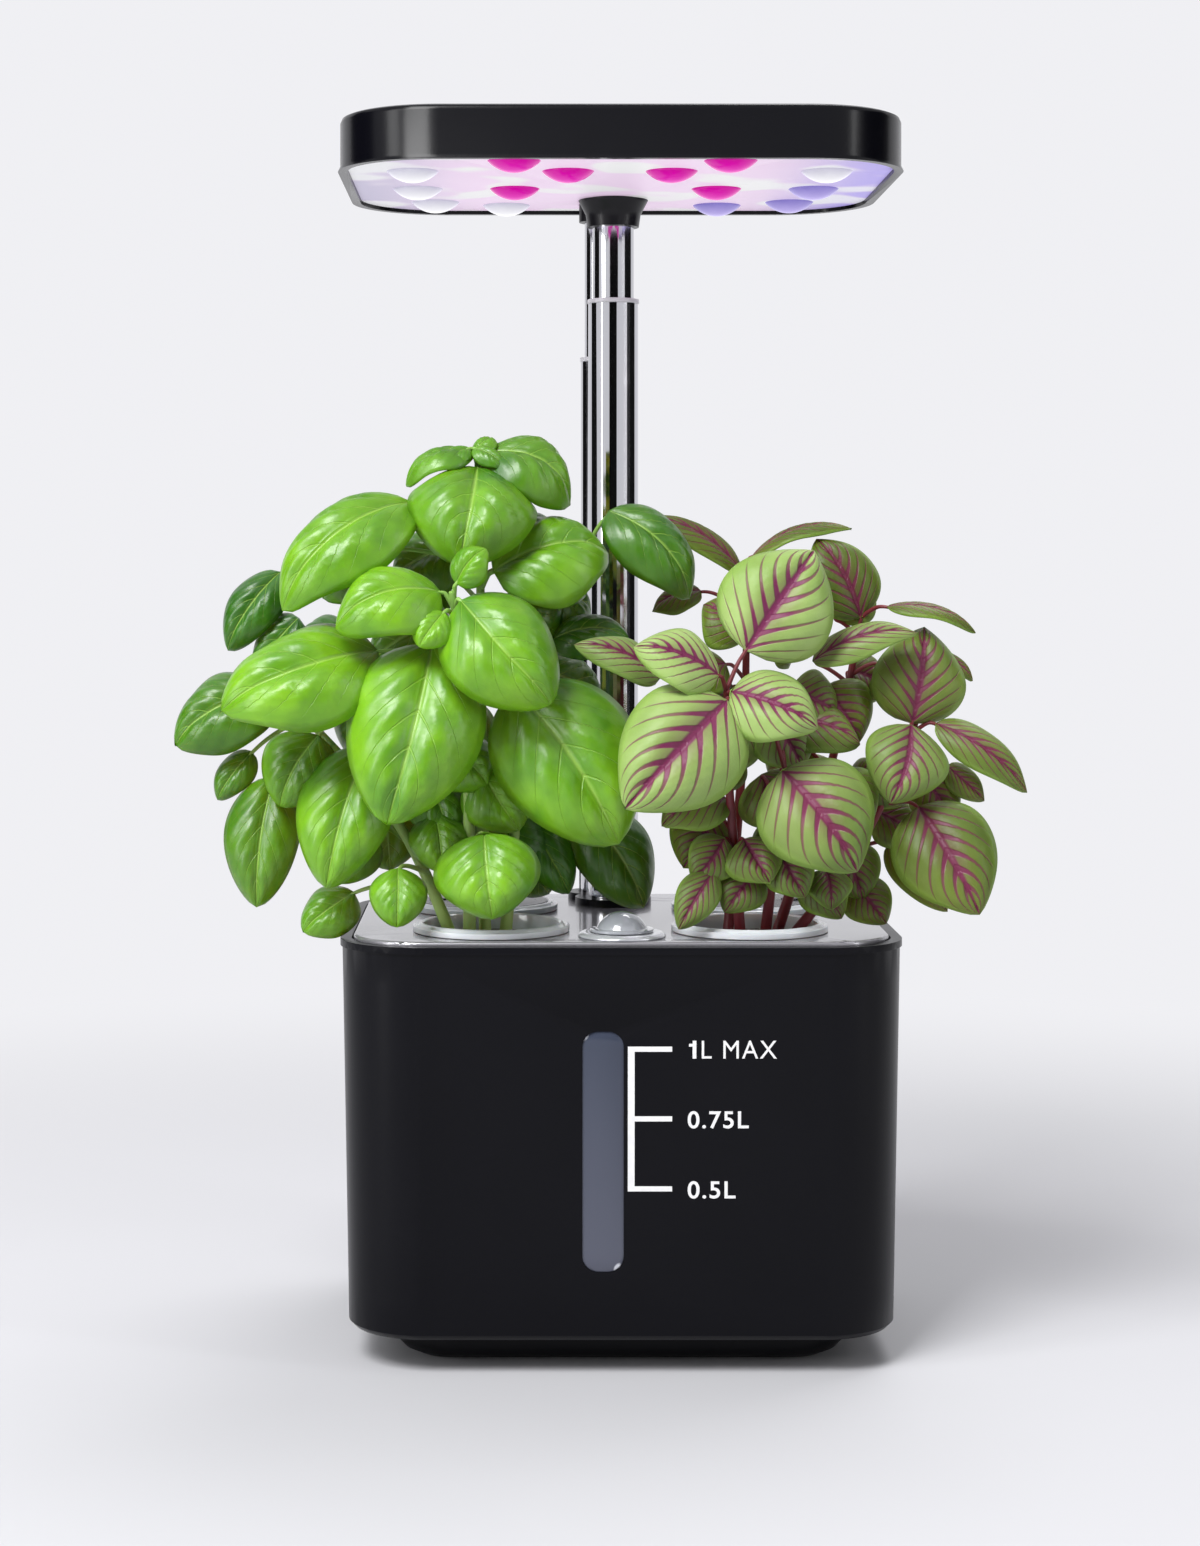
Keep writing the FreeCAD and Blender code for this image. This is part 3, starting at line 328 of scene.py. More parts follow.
def lit_lens(name, core, edge, strength):
    """Clear dome over a chip: bright in the middle and deeper towards its rim."""
    finish = Finish(name, Emission_Strength=strength, Specular_IOR_Level=0.3)
    ripple = finish.noise(260.0, 1.0)
    up = (finish.axis("Z") - lens_bottom) / lens_height
    colour = finish.blend(up.clamp(), paint(core), paint(edge))
    finish.set("Emission Color", finish.blend(ripple * 0.25, colour, paint(shade(edge, 0.8))))
    finish.set("Base Color", finish.blend(ripple, paint(shade(edge, 0.2)), paint(shade(core, 0.3))))
    finish.set("Roughness", 0.12 + ripple * 0.06)
    finish.bump(ripple, 0.08)
    return finish.material


lens_bottom = 0.3034
lens_height = 0.003
panel_painted_glow = lit_panel()
magenta_glow = lit_lens("magenta_lens", (0.8, 0.005, 0.5), (0.55, 0.0, 0.28), 0.85)
violet_glow = lit_lens("violet_lens", (0.62, 0.52, 1.0), (0.22, 0.18, 0.6), 0.7)
white_glow = lit_lens("white_lens", (1.0, 1.0, 1.0), (0.5, 0.48, 0.62), 0.85)
print("panel and lenses ready")

# %% [markdown]
# The net pots are thin translucent plastic: white, with light inside the lip. The window and the cap
# are clear. They stay mostly opaque here, with a tint that changes over their height, because the tank
# behind them is dark.


# %% Pots, window and cap
def pot_white():
    """Thin white plastic that lets a little light in."""
    finish = Finish("pot_white", Coat_Weight=0.5, Coat_Roughness=0.06, Subsurface_Weight=0.1)
    cloud = finish.noise(90.0, 2.0)
    finish.set("Base Color", finish.blend(cloud, paint((0.62, 0.62, 0.65)), paint((0.84, 0.84, 0.86))))
    finish.set("Roughness", 0.16 + cloud * 0.1)
    finish.bump(cloud, 0.04)
    return finish.material


def window_clear():
    """Clear window over dark water, with a painted highlight in two of its corners."""
    finish = Finish("window_clear", Specular_IOR_Level=0.3)
    up = (finish.axis("Z") - window_bottom) / window_height
    cloud = finish.noise(70.0, 3.0, (1, 1, 0.25))
    water = paint((0.1, 0.105, 0.14))
    dark_water = paint((0.045, 0.055, 0.085))
    tint = finish.blend((up * 0.8 + cloud * 0.3).clamp(), water, dark_water)
    # Painted highlight: a small pale streak in the colour at each of these two corners.
    for x, z in painted_window_glints:
        side = (finish.axis("X") - x * mm) * 0.8 - (finish.axis("Z") - z * mm) * 0.6
        along = (finish.axis("X") - x * mm) * 0.6 + (finish.axis("Z") - z * mm) * 0.8
        away = (side * side * 3.0 + along * along) ** 0.5
        tint = finish.blend(1.0 - away.step(0.7 * mm, 1.5 * mm), tint, paint((0.62, 0.64, 0.7)))
    finish.set("Base Color", tint)
    finish.set("Roughness", 0.1 + cloud * 0.06)
    finish.bump(cloud, 0.03)
    return finish.material


def smoky_cap():
    """Smoky clear dome, darker towards its top."""
    finish = Finish("smoky_cap", Coat_Weight=1.0, Coat_Roughness=0.02)
    high = ((finish.axis("Z") - cap_bottom) / cap_height).clamp()
    cloud = finish.noise(160.0, 2.0)
    tint = finish.blend(high, paint((0.3, 0.31, 0.34)), paint((0.12, 0.13, 0.15)))
    finish.set("Base Color", finish.blend(cloud * 0.4, tint, paint((0.42, 0.44, 0.47))))
    finish.set("Roughness", 0.08 + cloud * 0.05)
    finish.bump(cloud, 0.05)
    return finish.material


def dark_foam():
    """Dark growing sponge, full of pores."""
    finish = Finish("dark_foam")
    pores = finish.node("ShaderNodeTexVoronoi", sockets={"Vector": finish.place(), "Scale": 900.0})
    cloud = finish.noise(120.0, 3.0)
    finish.set("Base Color", finish.blend(pores * 1.6, paint((0.012, 0.01, 0.008)), paint((0.07, 0.055, 0.04))))
    finish.set("Roughness", 0.85 + cloud * 0.1)
    finish.bump(pores + cloud, 0.6, 0.0004)
    return finish.material


window_bottom = 0.0265
window_height = 0.0605
painted_window_glints = ((-9.7, 85.6), (-1.6, 27.6))
cap_bottom = 0.1104
cap_height = 0.005
pot_plastic = pot_white()
window_plastic = window_clear()
cap_plastic = smoky_cap()
foam = dark_foam()
print("pots, window and cap ready")

# %% [markdown]
# The parts arrive as loose triangles with knife-sharp edges. A real moulding has a small radius on every
# edge, which is what catches the light. Each part is copied, its points are merged, and a Bevel modifier
# rounds the edges; the copy then stands for the part.


# %% Dress a part
merge_distance = 0.000002
speck = 0.000001


def dressed(name, material, radius=0.25 * mm, sharp=32.0):
    """A rounded, smooth-shaded copy of one part with its own finish."""
    source = nodes[name]
    mesh = source.data.copy()
    work = bmesh.new()
    work.from_mesh(mesh)
    bmesh.ops.remove_doubles(work, verts=work.verts, dist=merge_distance)
    bmesh.ops.dissolve_degenerate(work, edges=work.edges, dist=speck)
    work.to_mesh(mesh)
    work.free()
    mesh.materials.clear()
    mesh.materials.append(material)
    mesh.shade_smooth()
    mesh.set_sharp_from_angle(angle=math.radians(sharp))
    piece = bpy.data.objects.new(name + "_dressed", mesh)
    bpy.context.scene.collection.objects.link(piece)
    if radius:
        soft = piece.modifiers.new("soft_edges", "BEVEL")
        soft.width = radius
        soft.segments = 2
        soft.limit_method = "ANGLE"
        soft.angle_limit = math.radians(sharp)
        soft.harden_normals = True
        soft.use_clamp_overlap = True
    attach(piece, source["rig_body"])
    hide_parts(name)
    return piece


# Every part with its finish and the radius of its edges in millimetres.
finishes = {
    "tank_shell": (tank_black, 0.35), "base_plinth": (plinth_black, 0.5),
    "base_pads": (seal_black, 0.2), "plinth_screws": (plain_steel, 0.1),
    "level_window": (window_plastic, 0.25), "window_gasket": (seal_black, 0),
    "deck_plate": (deck_silver, 0.2), "deck_seal": (seal_black, 0), "post_socket": (trim_black, 0.3),
    "power_inlet": (dull_black, 0.1), "main_post_tube": (post_chrome, 0.1),
    "slim_post_tube": (post_chrome, 0.1), "main_post_bush": (pale_nylon, 0.15),
    "slim_post_bush": (pale_nylon, 0.15), "port_collar": (port_silver, 0.2),
    "pump_body": (dull_black, 0.4), "pump_cover": (dull_black, 0.2), "pump_rotor": (pale_nylon, 0.1),
    "riser_pipe": (milky_pipe, 0.1), "control_box": (box_grey, 0.3), "control_lid": (box_grey, 0.3),
    "control_board": (board_green, 0.1), "fill_cap": (cap_plastic, 0.2), "cap_ring": (seal_black, 0.1),
    "main_inner_tube": (post_chrome, 0.1), "slim_inner_tube": (post_chrome, 0.1),
    "main_slider": (pale_nylon, 0.1), "slim_slider": (pale_nylon, 0.1), "lamp_shell": (hood_black, 0.3),
    "light_panel": (panel_painted_glow, 0.15), "led_board": (board_metal, 0.1),
    "red_lenses": (magenta_glow, 0), "blue_lenses": (violet_glow, 0), "white_lenses": (white_glow, 0),
    "lamp_bracket": (trim_black, 0.25), "bracket_screws": (plain_steel, 0.1),
    "button_switch": (dull_black, 0.1), "power_button": (trim_black, 0.3),
    "rear_left_cover": (trim_black, 0.2), "rear_right_cover": (trim_black, 0.2),
}
for pot in ("basil", "amaranth", "rear_left", "rear_right"):
    finishes[pot + "_basket"] = (pot_plastic, 0.2)
    finishes[pot + "_sponge"] = (foam, 0.2)
for name, (material, radius) in finishes.items():
    dressed(name, material, radius * mm)
print("dressed", len(finishes), "parts")

# %% [markdown]
# The volume scale is printed on the tank in white: one upright bar, three ticks and plain figures.
# Text starts as a font curve, becomes a mesh and is then laid on the leaning front wall. The figure 1 is
# made of two bars, so that it keeps its flag at this small size.

# %% Printed scale
tank_half_depth = 0.056
lip_proud = 0.5 * mm
draft = 1.75 * mm
rim_height = 0.108
wall_height = 0.099
print_lift = 0.06 * mm
print_depth = 0.05 * mm
glyph_depth = 0.004
merge_glyph = 0.00001
tick_heights = (("tick_full", 81.9), ("tick_middle", 64.4), ("tick_low", 46.8))


def white_print():
    """Matt white ink, a little worn."""
    finish = Finish("white_print")
    worn = finish.noise(700.0, 3.0)
    finish.set("Base Color", finish.blend(worn, paint((0.72, 0.72, 0.73)), paint((0.88, 0.88, 0.88))))
    finish.set("Roughness", 0.45 + worn * 0.1)
    return finish.material


def on_front(x, height):
    """Frame on the front wall: X across, Y up the wall, Z outwards."""
    lean = math.atan(draft / wall_height)
    inset = lip_proud + draft * (rim_height - height) / wall_height
    place = Vector((x, -(tank_half_depth - inset) - print_lift, height))
    return Matrix.Translation(place) @ Matrix.Rotation(math.pi / 2 + lean, 4, "X")


def printed_bar(name, x, low, width, tall):
    """A thin printed stripe with its lower left corner at a place on the wall."""
    work = bmesh.new()
    bmesh.ops.create_grid(work, x_segments=1, y_segments=1, size=0.5)
    bmesh.ops.translate(work, verts=work.verts, vec=(0.5, 0.5, 0))
    bmesh.ops.scale(work, verts=work.verts, vec=(width, tall, 1))
    pulled = bmesh.ops.extrude_face_region(work, geom=work.faces[:])
    top = [item for item in pulled["geom"] if isinstance(item, bmesh.types.BMVert)]
    bmesh.ops.translate(work, verts=top, vec=(0, 0, print_depth))
    bmesh.ops.transform(work, matrix=on_front(x, low), verts=work.verts)
    bmesh.ops.recalc_face_normals(work, faces=work.faces)
    return add_print(name, work)


def add_print(name, work):
    """Turn a finished print into a piece of the tank."""
    mesh = bpy.data.meshes.new(name)
    work.to_mesh(mesh)
    work.free()
    mesh.materials.append(scale_white)
    piece = bpy.data.objects.new(name, mesh)
    bpy.context.scene.collection.objects.link(piece)
    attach(piece, "tank")
    return piece


def printed_text(name, words, x, low, tall, length, weight):
    """Plain figures fitted to a height and a length on the wall."""
    curve = bpy.data.curves.new(name, "FONT")
    curve.body = words
    curve.size = 1.0
    curve.offset = weight
    curve.space_character = 1.12
    curve.extrude = glyph_depth
    holder = bpy.data.objects.new(name + "_curve", curve)
    bpy.context.scene.collection.objects.link(holder)
    bpy.context.view_layer.update()
    mesh = bpy.data.meshes.new_from_object(holder)
    bpy.data.objects.remove(holder)
    work = bmesh.new()
    work.from_mesh(mesh)
    bmesh.ops.remove_doubles(work, verts=work.verts, dist=merge_glyph)
    wide = max(v.co.x for v in work.verts)
    left = min(v.co.x for v in work.verts)
    high = max(v.co.y for v in work.verts)
    bottom = min(v.co.y for v in work.verts)
    bmesh.ops.translate(work, verts=work.verts, vec=(-left, -bottom, 0))
    fit = (length / (wide - left), tall / (high - bottom), print_depth / (2 * glyph_depth))
    bmesh.ops.scale(work, verts=work.verts, vec=fit)
    bmesh.ops.transform(work, matrix=on_front(x, low), verts=work.verts)
    bmesh.ops.recalc_face_normals(work, faces=work.faces)
    return add_print(name, work)


scale_white = white_print()
printed_bar("scale_bar", 1.0 * mm, 46.8 * mm, 1.7 * mm, 36.4 * mm)
for name, height in tick_heights:
    printed_bar(name, 2.7 * mm, height * mm, 9.4 * mm, 1.3 * mm)
printed_bar("figure_one_stem", 17.2 * mm, 80.2 * mm, 0.95 * mm, 4.5 * mm)
printed_bar("figure_one_flag", 16.3 * mm, 83.2 * mm, 0.95 * mm, 0.7 * mm)
printed_text("figure_full", "L MAX", 19.5 * mm, 80.2 * mm, 4.5 * mm, 18.8 * mm, 0.0)
printed_text("figure_middle", "0.75L", 16.0 * mm, 62.6 * mm, 4.4 * mm, 15.3 * mm, 0.014)
printed_text("figure_low", "0.5L", 16.0 * mm, 45.0 * mm, 4.4 * mm, 12 * mm, 0.014)
print("scale printed")

# %% [markdown]
# A leaf is a small curved sheet. It starts as a grid that runs from the leaf's base to its tip; each
# row is narrowed to the leaf's outline, arched along the midrib and bellied between the veins. The same
# grid carries a UV map, so that the veins in the colour lie exactly on the veins in the shape.

# %% Leaf outline and veins
leaf_rows = 30
leaf_columns = 18
vein_sweep = 0.5
vein_curve = 1.1
lift_of_half = 1.25
curl_start = 0.75
least_lit_share = 0.25
twist_range = 0.25
full_turn = 6.28


def blade_outline(base_round, tip_point):
    """Half width along a blade as a share of its widest: round at the base and pointed at the tip."""
    widest = base_round / (base_round + tip_point)
    peak = widest ** base_round * (1 - widest) ** tip_point
    return lambda share: max(share, 0) ** base_round * max(1 - share, 0) ** tip_point / peak


basil_outline = blade_outline(0.52, 0.7)
amaranth_outline = blade_outline(0.56, 0.82)


def vein_phase(along, across, pairs):
    """Rises by one from each side vein to the next; the veins sweep towards the tip."""
    return pairs * (along - vein_sweep * abs(across) ** vein_curve)


def leaf_height(along, across, width, style):
    """How far the blade lies off its middle surface: two bellied halves beside a sunken midrib."""
    fade = math.sin(math.pi * min(max(along, 0), 1)) ** 0.5
    puff = abs(math.sin(math.pi * vein_phase(along, across, style["pairs"]))) ** 0.7
    margin = 1 - abs(across) ** 4
    half = abs(across)
    bellied = style["belly"] * half * (lift_of_half - half) - style["droop"] * half * half
    return width * fade * (bellied + style["puff"] * puff * margin * min(half * 4, 1))


def leaf_sheet(work, layer, shade_layer, row, outline, style):
    """Add one blade to a mesh, from its row of base, tip, width, facing and arch."""
    base, tip, width, facing, arch = row
    start = Vector(base) * mm
    end = Vector(tip) * mm
    width = width * mm * style["swell"]
    run = end - start
    ahead = run.normalized()
    tilt = math.radians(90 * facing)
    outward = Vector((0, -math.sin(tilt), math.cos(tilt)))
    outward = (outward - ahead * outward.dot(ahead)).normalized()
    side = ahead.cross(outward)
    made = bmesh.ops.create_grid(work, x_segments=leaf_columns, y_segments=leaf_rows, size=1.0)
    seed = style["chance"].random()
    twist = style["chance"].uniform(-twist_range, twist_range)
    # Painted shade: a blade further back or lower down gets a lower tone, which its finish turns into darker
    # green.
    near = min(max((-base[1] - style["shade_depth"]) / style["shade_fade_depth"], 0), 1)
    tone = near * min(max((base[2] - style["shade_height"]) / style["shade_fade_height"], least_lit_share), 1)
    for vert in made["verts"]:
        across = vert.co.x
        along = (vert.co.y + 1) / 2
        for loop in vert.link_loops:
            loop[layer].uv = (across * 0.5 + 0.5, along)
            loop[shade_layer].uv = (tone, seed)
        half = outline(along) * width / 2
        bend = side * math.sin(math.pi * along) * twist * width * 0.25
        centre = start + run * along + outward * (4 * arch * run.length * along * (1 - along)) + bend
        curl = -style["tip_curl"] * max(along - curl_start, 0) ** 2 * width * 4
        wave = style["ruffle"] * math.sin(9 * along + full_turn * seed) * abs(across) ** 3 * width
        lift = leaf_height(along, across, width, style) + curl + wave
        vert.co = centre + side * (across * half) + outward * lift


print("a blade has", leaf_rows * leaf_columns, "faces a side")

# %% [markdown]
# Each blade's place is read off the photograph and written in millimetres: its base, its tip, its
# width, how far it faces the viewer and how strongly it arches.

# %% Where the blades are
basil_blades = [
    ((-38, -30, 233), (-56, -34, 226), 12, 0.15, 0.16),
    ((-35, -30, 233), (-12, -29, 221), 20, 0.4, 0.2),
    ((-37, -34, 229), (-41, -50, 206), 27, 0.8, 0.14),
    ((-54, -36, 220), (-87, -48, 194), 22, 0.45, 0.18),
    ((-33, -36, 202), (-3, -30, 209), 25, 0.55, 0.16),
    ((-3, -24, 218), (19, -27, 196), 17, 0.5, 0.16),
    ((-46, -52, 197), (-72, -59, 190), 19, 0.55, 0.16),
    ((-42, -55, 199), (-35, -57, 208), 9, 0.6, 0.1),
    ((-41, -55, 195), (-18, -63, 170), 23, 0.75, 0.14),
    ((-45, -57, 192), (-51, -62, 184), 9, 0.7, 0.1),
    ((-62, -44, 182), (-101, -56, 169), 25, 0.6, 0.15),
    ((-48, -50, 184), (-59, -64, 140), 28, 0.95, 0.1),
    ((-27, -44, 172), (-1, -52, 134), 30, 0.9, 0.1),
    ((-65, -38, 157), (-75, -50, 123), 20, 0.9, 0.1),
    ((-35, -50, 136), (-33, -57, 116), 22, 0.9, 0.1),
    ((-57, -46, 127), (-57, -52, 113), 12, 0.8, 0.1),
    ((-10, -16, 139), (7, -20, 114), 17, 0.7, 0.1),
    ((-38, -33, 234), (-30, -36, 229), 6, 0.4, 0.1),
    ((-39, -33, 234), (-46, -36, 230), 6, 0.4, 0.1),
    ((-37, -31, 234), (-33, -27, 237), 6, 0.2, 0.1),
    ((-89, -20, 202), (-103, -24, 182), 12, 0.6, 0.16),
    ((-91, -25, 171), (-116, -30, 158), 19, 0.6, 0.14),
    ((-96, -25, 155), (-105, -28, 143), 8, 0.7, 0.1),
    ((-90, -28, 149), (-94, -36, 116), 16, 0.9, 0.1),
    ((-69, -30, 119), (-82, -36, 110), 12, 0.6, 0.1),
    ((-18, -22, 184), (2, -26, 186), 13, 0.5, 0.12),
    ((-20, -16, 168), (4, -20, 158), 16, 0.6, 0.12),
    ((-50, -30, 150), (-44, -38, 134), 14, 0.8, 0.1),
    ((-25, -20, 139), (-13, -24, 118), 12, 0.7, 0.1),
]
amaranth_blades = [
    ((31, -48, 182), (49, -44, 208), 25, 0.85, 0.1),
    ((26, -55, 170), (0, -66, 144), 26, 0.85, 0.1),
    ((24, -53, 176), (3, -57, 184), 15, 0.6, 0.12),
    ((27, -53, 172), (48, -60, 164), 17, 0.7, 0.12),
    ((10, -40, 175), (-12, -42, 184), 11, 0.5, 0.12),
    ((40, -50, 152), (58, -60, 128), 25, 0.85, 0.1),
    ((63, -25, 190), (52, -22, 211), 16, 0.7, 0.1),
    ((35, -18, 206), (61, -20, 214), 9, 0.15, 0.12),
    ((33, -10, 202), (8, -9, 217), 9, 0.4, 0.12),
    ((75, -35, 163), (79, -30, 188), 20, 0.85, 0.1),
    ((49, -38, 179), (75, -42, 187), 10, 0.5, 0.12),
    ((74, -40, 163), (68, -48, 144), 18, 0.85, 0.1),
    ((81, -35, 163), (104, -40, 146), 10, 0.6, 0.12),
    ((76, -38, 142), (90, -50, 116), 22, 0.9, 0.1),
    ((69, -30, 193), (92, -32, 187), 8, 0.2, 0.12),
    ((23, -46, 126), (14, -50, 112), 9, 0.8, 0.1),
    ((70, -25, 131), (85, -30, 114), 9, 0.8, 0.1),
    ((41, -34, 163), (61, -40, 159), 15, 0.5, 0.12),
    ((27, -38, 144), (10, -44, 138), 13, 0.5, 0.12),
    ((31, -42, 134), (37, -50, 124), 13, 0.7, 0.1),
    ((52, -40, 126), (53, -46, 117), 10, 0.8, 0.1),
    ((60, -30, 145), (69, -32, 152), 11, 0.5, 0.12),
    ((42, -24, 189), (55, -25, 184), 13, 0.5, 0.12),
]
print(len(basil_blades), "basil blades,", len(amaranth_blades), "amaranth blades")

# %% [markdown]
# Behind the blades that face the viewer a real plant is full of smaller ones, given painted shade here.
# They close the gaps, so the plant reads as a mass, not a fan of single leaves. Their rows are written the same
# way.

# %% Blades at the back
basil_fillers = [
    ((-30, -22, 214), (-12, -18, 202), 17, 0.6, 0.12),
    ((-42, -24, 210), (-60, -22, 200), 18, 0.6, 0.12),
    ((-44, -26, 190), (-66, -24, 178), 20, 0.7, 0.12),
    ((-30, -24, 196), (-20, -20, 178), 20, 0.8, 0.12),
    ((-58, -26, 172), (-70, -24, 152), 20, 0.8, 0.12),
    ((-48, -28, 168), (-40, -26, 146), 22, 0.85, 0.12),
    ((-26, -22, 160), (-16, -16, 142), 20, 0.8, 0.12),
    ((-40, -26, 146), (-50, -24, 128), 18, 0.85, 0.12),
    ((-62, -26, 142), (-60, -26, 124), 16, 0.85, 0.12),
    ((-30, -24, 138), (-22, -22, 120), 16, 0.85, 0.12),
    ((-70, -22, 186), (-88, -20, 176), 18, 0.6, 0.12),
    ((-36, -18, 226), (-28, -10, 214), 14, 0.5, 0.12),
    ((-24, -14, 198), (-6, -8, 192), 18, 0.5, 0.12),
    ((-20, -8, 176), (-4, 0, 164), 18, 0.6, 0.12),
    ((-44, -14, 200), (-56, -6, 190), 18, 0.4, 0.12),
    ((-50, -14, 176), (-64, -6, 164), 20, 0.5, 0.12),
    ((-34, -18, 158), (-30, -14, 144), 16, 0.6, 0.12),
    ((-78, -34, 160), (-88, -38, 142), 16, 0.8, 0.12),
    ((-46, -40, 158), (-34, -42, 148), 14, 0.7, 0.12),
    ((-36, -38, 152), (-26, -40, 136), 15, 0.85, 0.12),
    ((-62, -30, 208), (-78, -30, 196), 16, 0.5, 0.12),
    ((-76, -28, 178), (-90, -26, 164), 16, 0.6, 0.12),
    ((-66, -32, 136), (-74, -34, 122), 13, 0.8, 0.12),
    ((-48, -36, 140), (-46, -42, 126), 13, 0.85, 0.12),
    ((-22, -30, 206), (-8, -26, 196), 16, 0.7, 0.12),
    ((-12, -18, 152), (0, -14, 140), 14, 0.7, 0.12),
    ((-26, -16, 128), (-18, -12, 116), 12, 0.85, 0.12),
    ((-60, -14, 150), (-72, -8, 138), 16, 0.6, 0.12),
    ((-84, -24, 190), (-96, -22, 176), 13, 0.6, 0.12),
]
amaranth_fillers = [
    ((30, -36, 166), (22, -38, 150), 16, 0.8, 0.12),
    ((44, -34, 172), (56, -34, 166), 15, 0.7, 0.12),
    ((34, -28, 186), (22, -26, 194), 15, 0.6, 0.12),
    ((42, -28, 196), (50, -28, 206), 13, 0.6, 0.12),
    ((52, -30, 172), (62, -32, 158), 17, 0.8, 0.12),
    ((36, -36, 150), (44, -38, 136), 16, 0.85, 0.12),
    ((24, -34, 140), (16, -36, 126), 15, 0.85, 0.12),
    ((44, -34, 138), (38, -40, 122), 14, 0.85, 0.12),
    ((58, -34, 132), (62, -38, 118), 13, 0.85, 0.12),
    ((64, -32, 152), (74, -32, 142), 14, 0.8, 0.12),
    ((60, -22, 176), (70, -20, 170), 14, 0.6, 0.12),
    ((48, -24, 156), (42, -20, 144), 15, 0.8, 0.12),
    ((30, -18, 172), (20, -14, 164), 14, 0.5, 0.12),
    ((38, -14, 186), (46, -6, 178), 14, 0.4, 0.12),
    ((52, -18, 150), (62, -10, 144), 14, 0.5, 0.12),
    ((34, -40, 126), (26, -46, 116), 11, 0.85, 0.12),
    ((48, -36, 124), (56, -42, 114), 11, 0.85, 0.12),
    ((78, -32, 150), (86, -34, 138), 12, 0.8, 0.12),
    ((84, -34, 152), (94, -34, 143), 7, 0.7, 0.1),
    ((82, -28, 181), (92, -28, 174), 6, 0.4, 0.1),
    ((22, -13, 197), (9, -12, 192), 10, 0.4, 0.12),
    ((30, -30, 156), (20, -32, 146), 14, 0.8, 0.12),
    ((38, -38, 164), (46, -42, 152), 14, 0.85, 0.12),
    ((54, -36, 150), (64, -40, 138), 13, 0.85, 0.12),
    ((26, -42, 134), (18, -46, 124), 11, 0.85, 0.12),
    ((40, -42, 130), (46, -48, 120), 11, 0.85, 0.12),
    ((60, -34, 122), (68, -38, 112), 11, 0.85, 0.12),
    ((66, -28, 140), (78, -24, 132), 12, 0.7, 0.12),
    ((56, -22, 190), (66, -20, 200), 13, 0.6, 0.12),
    ((28, -22, 178), (16, -22, 172), 13, 0.6, 0.12),
    ((68, -26, 178), (76, -24, 168), 13, 0.7, 0.12),
]
print(len(basil_fillers) + len(amaranth_fillers), "blades at the back")

# %% [markdown]
# Basil is bright and glossy, paler along its veins. The amaranth is yellow-green with crimson along the
# midrib and the side veins. Both finishes read the leaf's own UV map, where U runs across and V along.
# A second map carries painted shade, which darkens the blades further back and lower down.


# %% Leaf finishes
def leaf_map(finish):
    """Across from -1 to 1, along from 0 to 1, and the blade's painted shade as a tone from dark to light."""
    spot = finish.node("ShaderNodeUVMap", {"uv_map": "leaf"})
    parts = finish.node("ShaderNodeSeparateXYZ", sockets={0: spot})
    across = Wave(finish, parts.socket.node.outputs[0]) * 2.0 - 1.0
    along = Wave(finish, parts.socket.node.outputs[1])
    own = finish.node("ShaderNodeUVMap", {"uv_map": "tone"})
    return across, along, finish.node("ShaderNodeSeparateXYZ", sockets={0: own})


def side_veins(across, along, pairs, thin, reach):
    """1 on a side vein and 0 between; the veins thin out before they reach the edge."""
    phase = (along - (across.size() ** vein_curve) * vein_sweep) * (pairs * math.pi)
    line = 1.0 - phase.sine().size()
    width = line + (reach - across.size()) * thin
    return width.step(1.0 - thin * 0.2, 1.0 + thin * 0.3)


def basil_green():
    """Bright glossy green, paler along the veins, with painted shade that darkens the blades at the back."""
    finish = Finish("basil_leaf", Subsurface_Weight=0.1, Specular_IOR_Level=0.55)
    across, along, tone = leaf_map(finish)
    veins = side_veins(across, along, basil_pairs, 0.18, 0.8)
    rib = 1.0 - across.size().step(0.0, 0.06)
    cloud = finish.noise(60.0, 3.0)
    fine = finish.noise(900.0, 3.0)
    swell = (finish.noise(190.0, 2.0) - 0.5) * 0.5
    # Painted shade: the tone darkens the green of blades at the back.
    deep = finish.blend(tone, paint((0.006, 0.055, 0.001)), paint((0.028, 0.16, 0.002)))
    bright = finish.blend(tone, paint((0.04, 0.19, 0.002)), paint((0.24, 0.52, 0.012)))
    green = finish.blend((cloud * 1.3 + along * 0.25 - 0.3 + swell).clamp(), deep, bright)
    green = finish.blend(veins * 0.35, green, paint((0.3, 0.56, 0.05)))
    finish.set("Base Color", finish.blend(rib * 0.6, green, paint((0.36, 0.6, 0.09))))
    finish.set("Roughness", 0.3 + fine * 0.1 + veins * 0.08)
    finish.bump(fine * 0.2 + swell * 0.5 - veins * 1.0 - rib * 1.6, 0.6, 0.0004)
    return finish.material


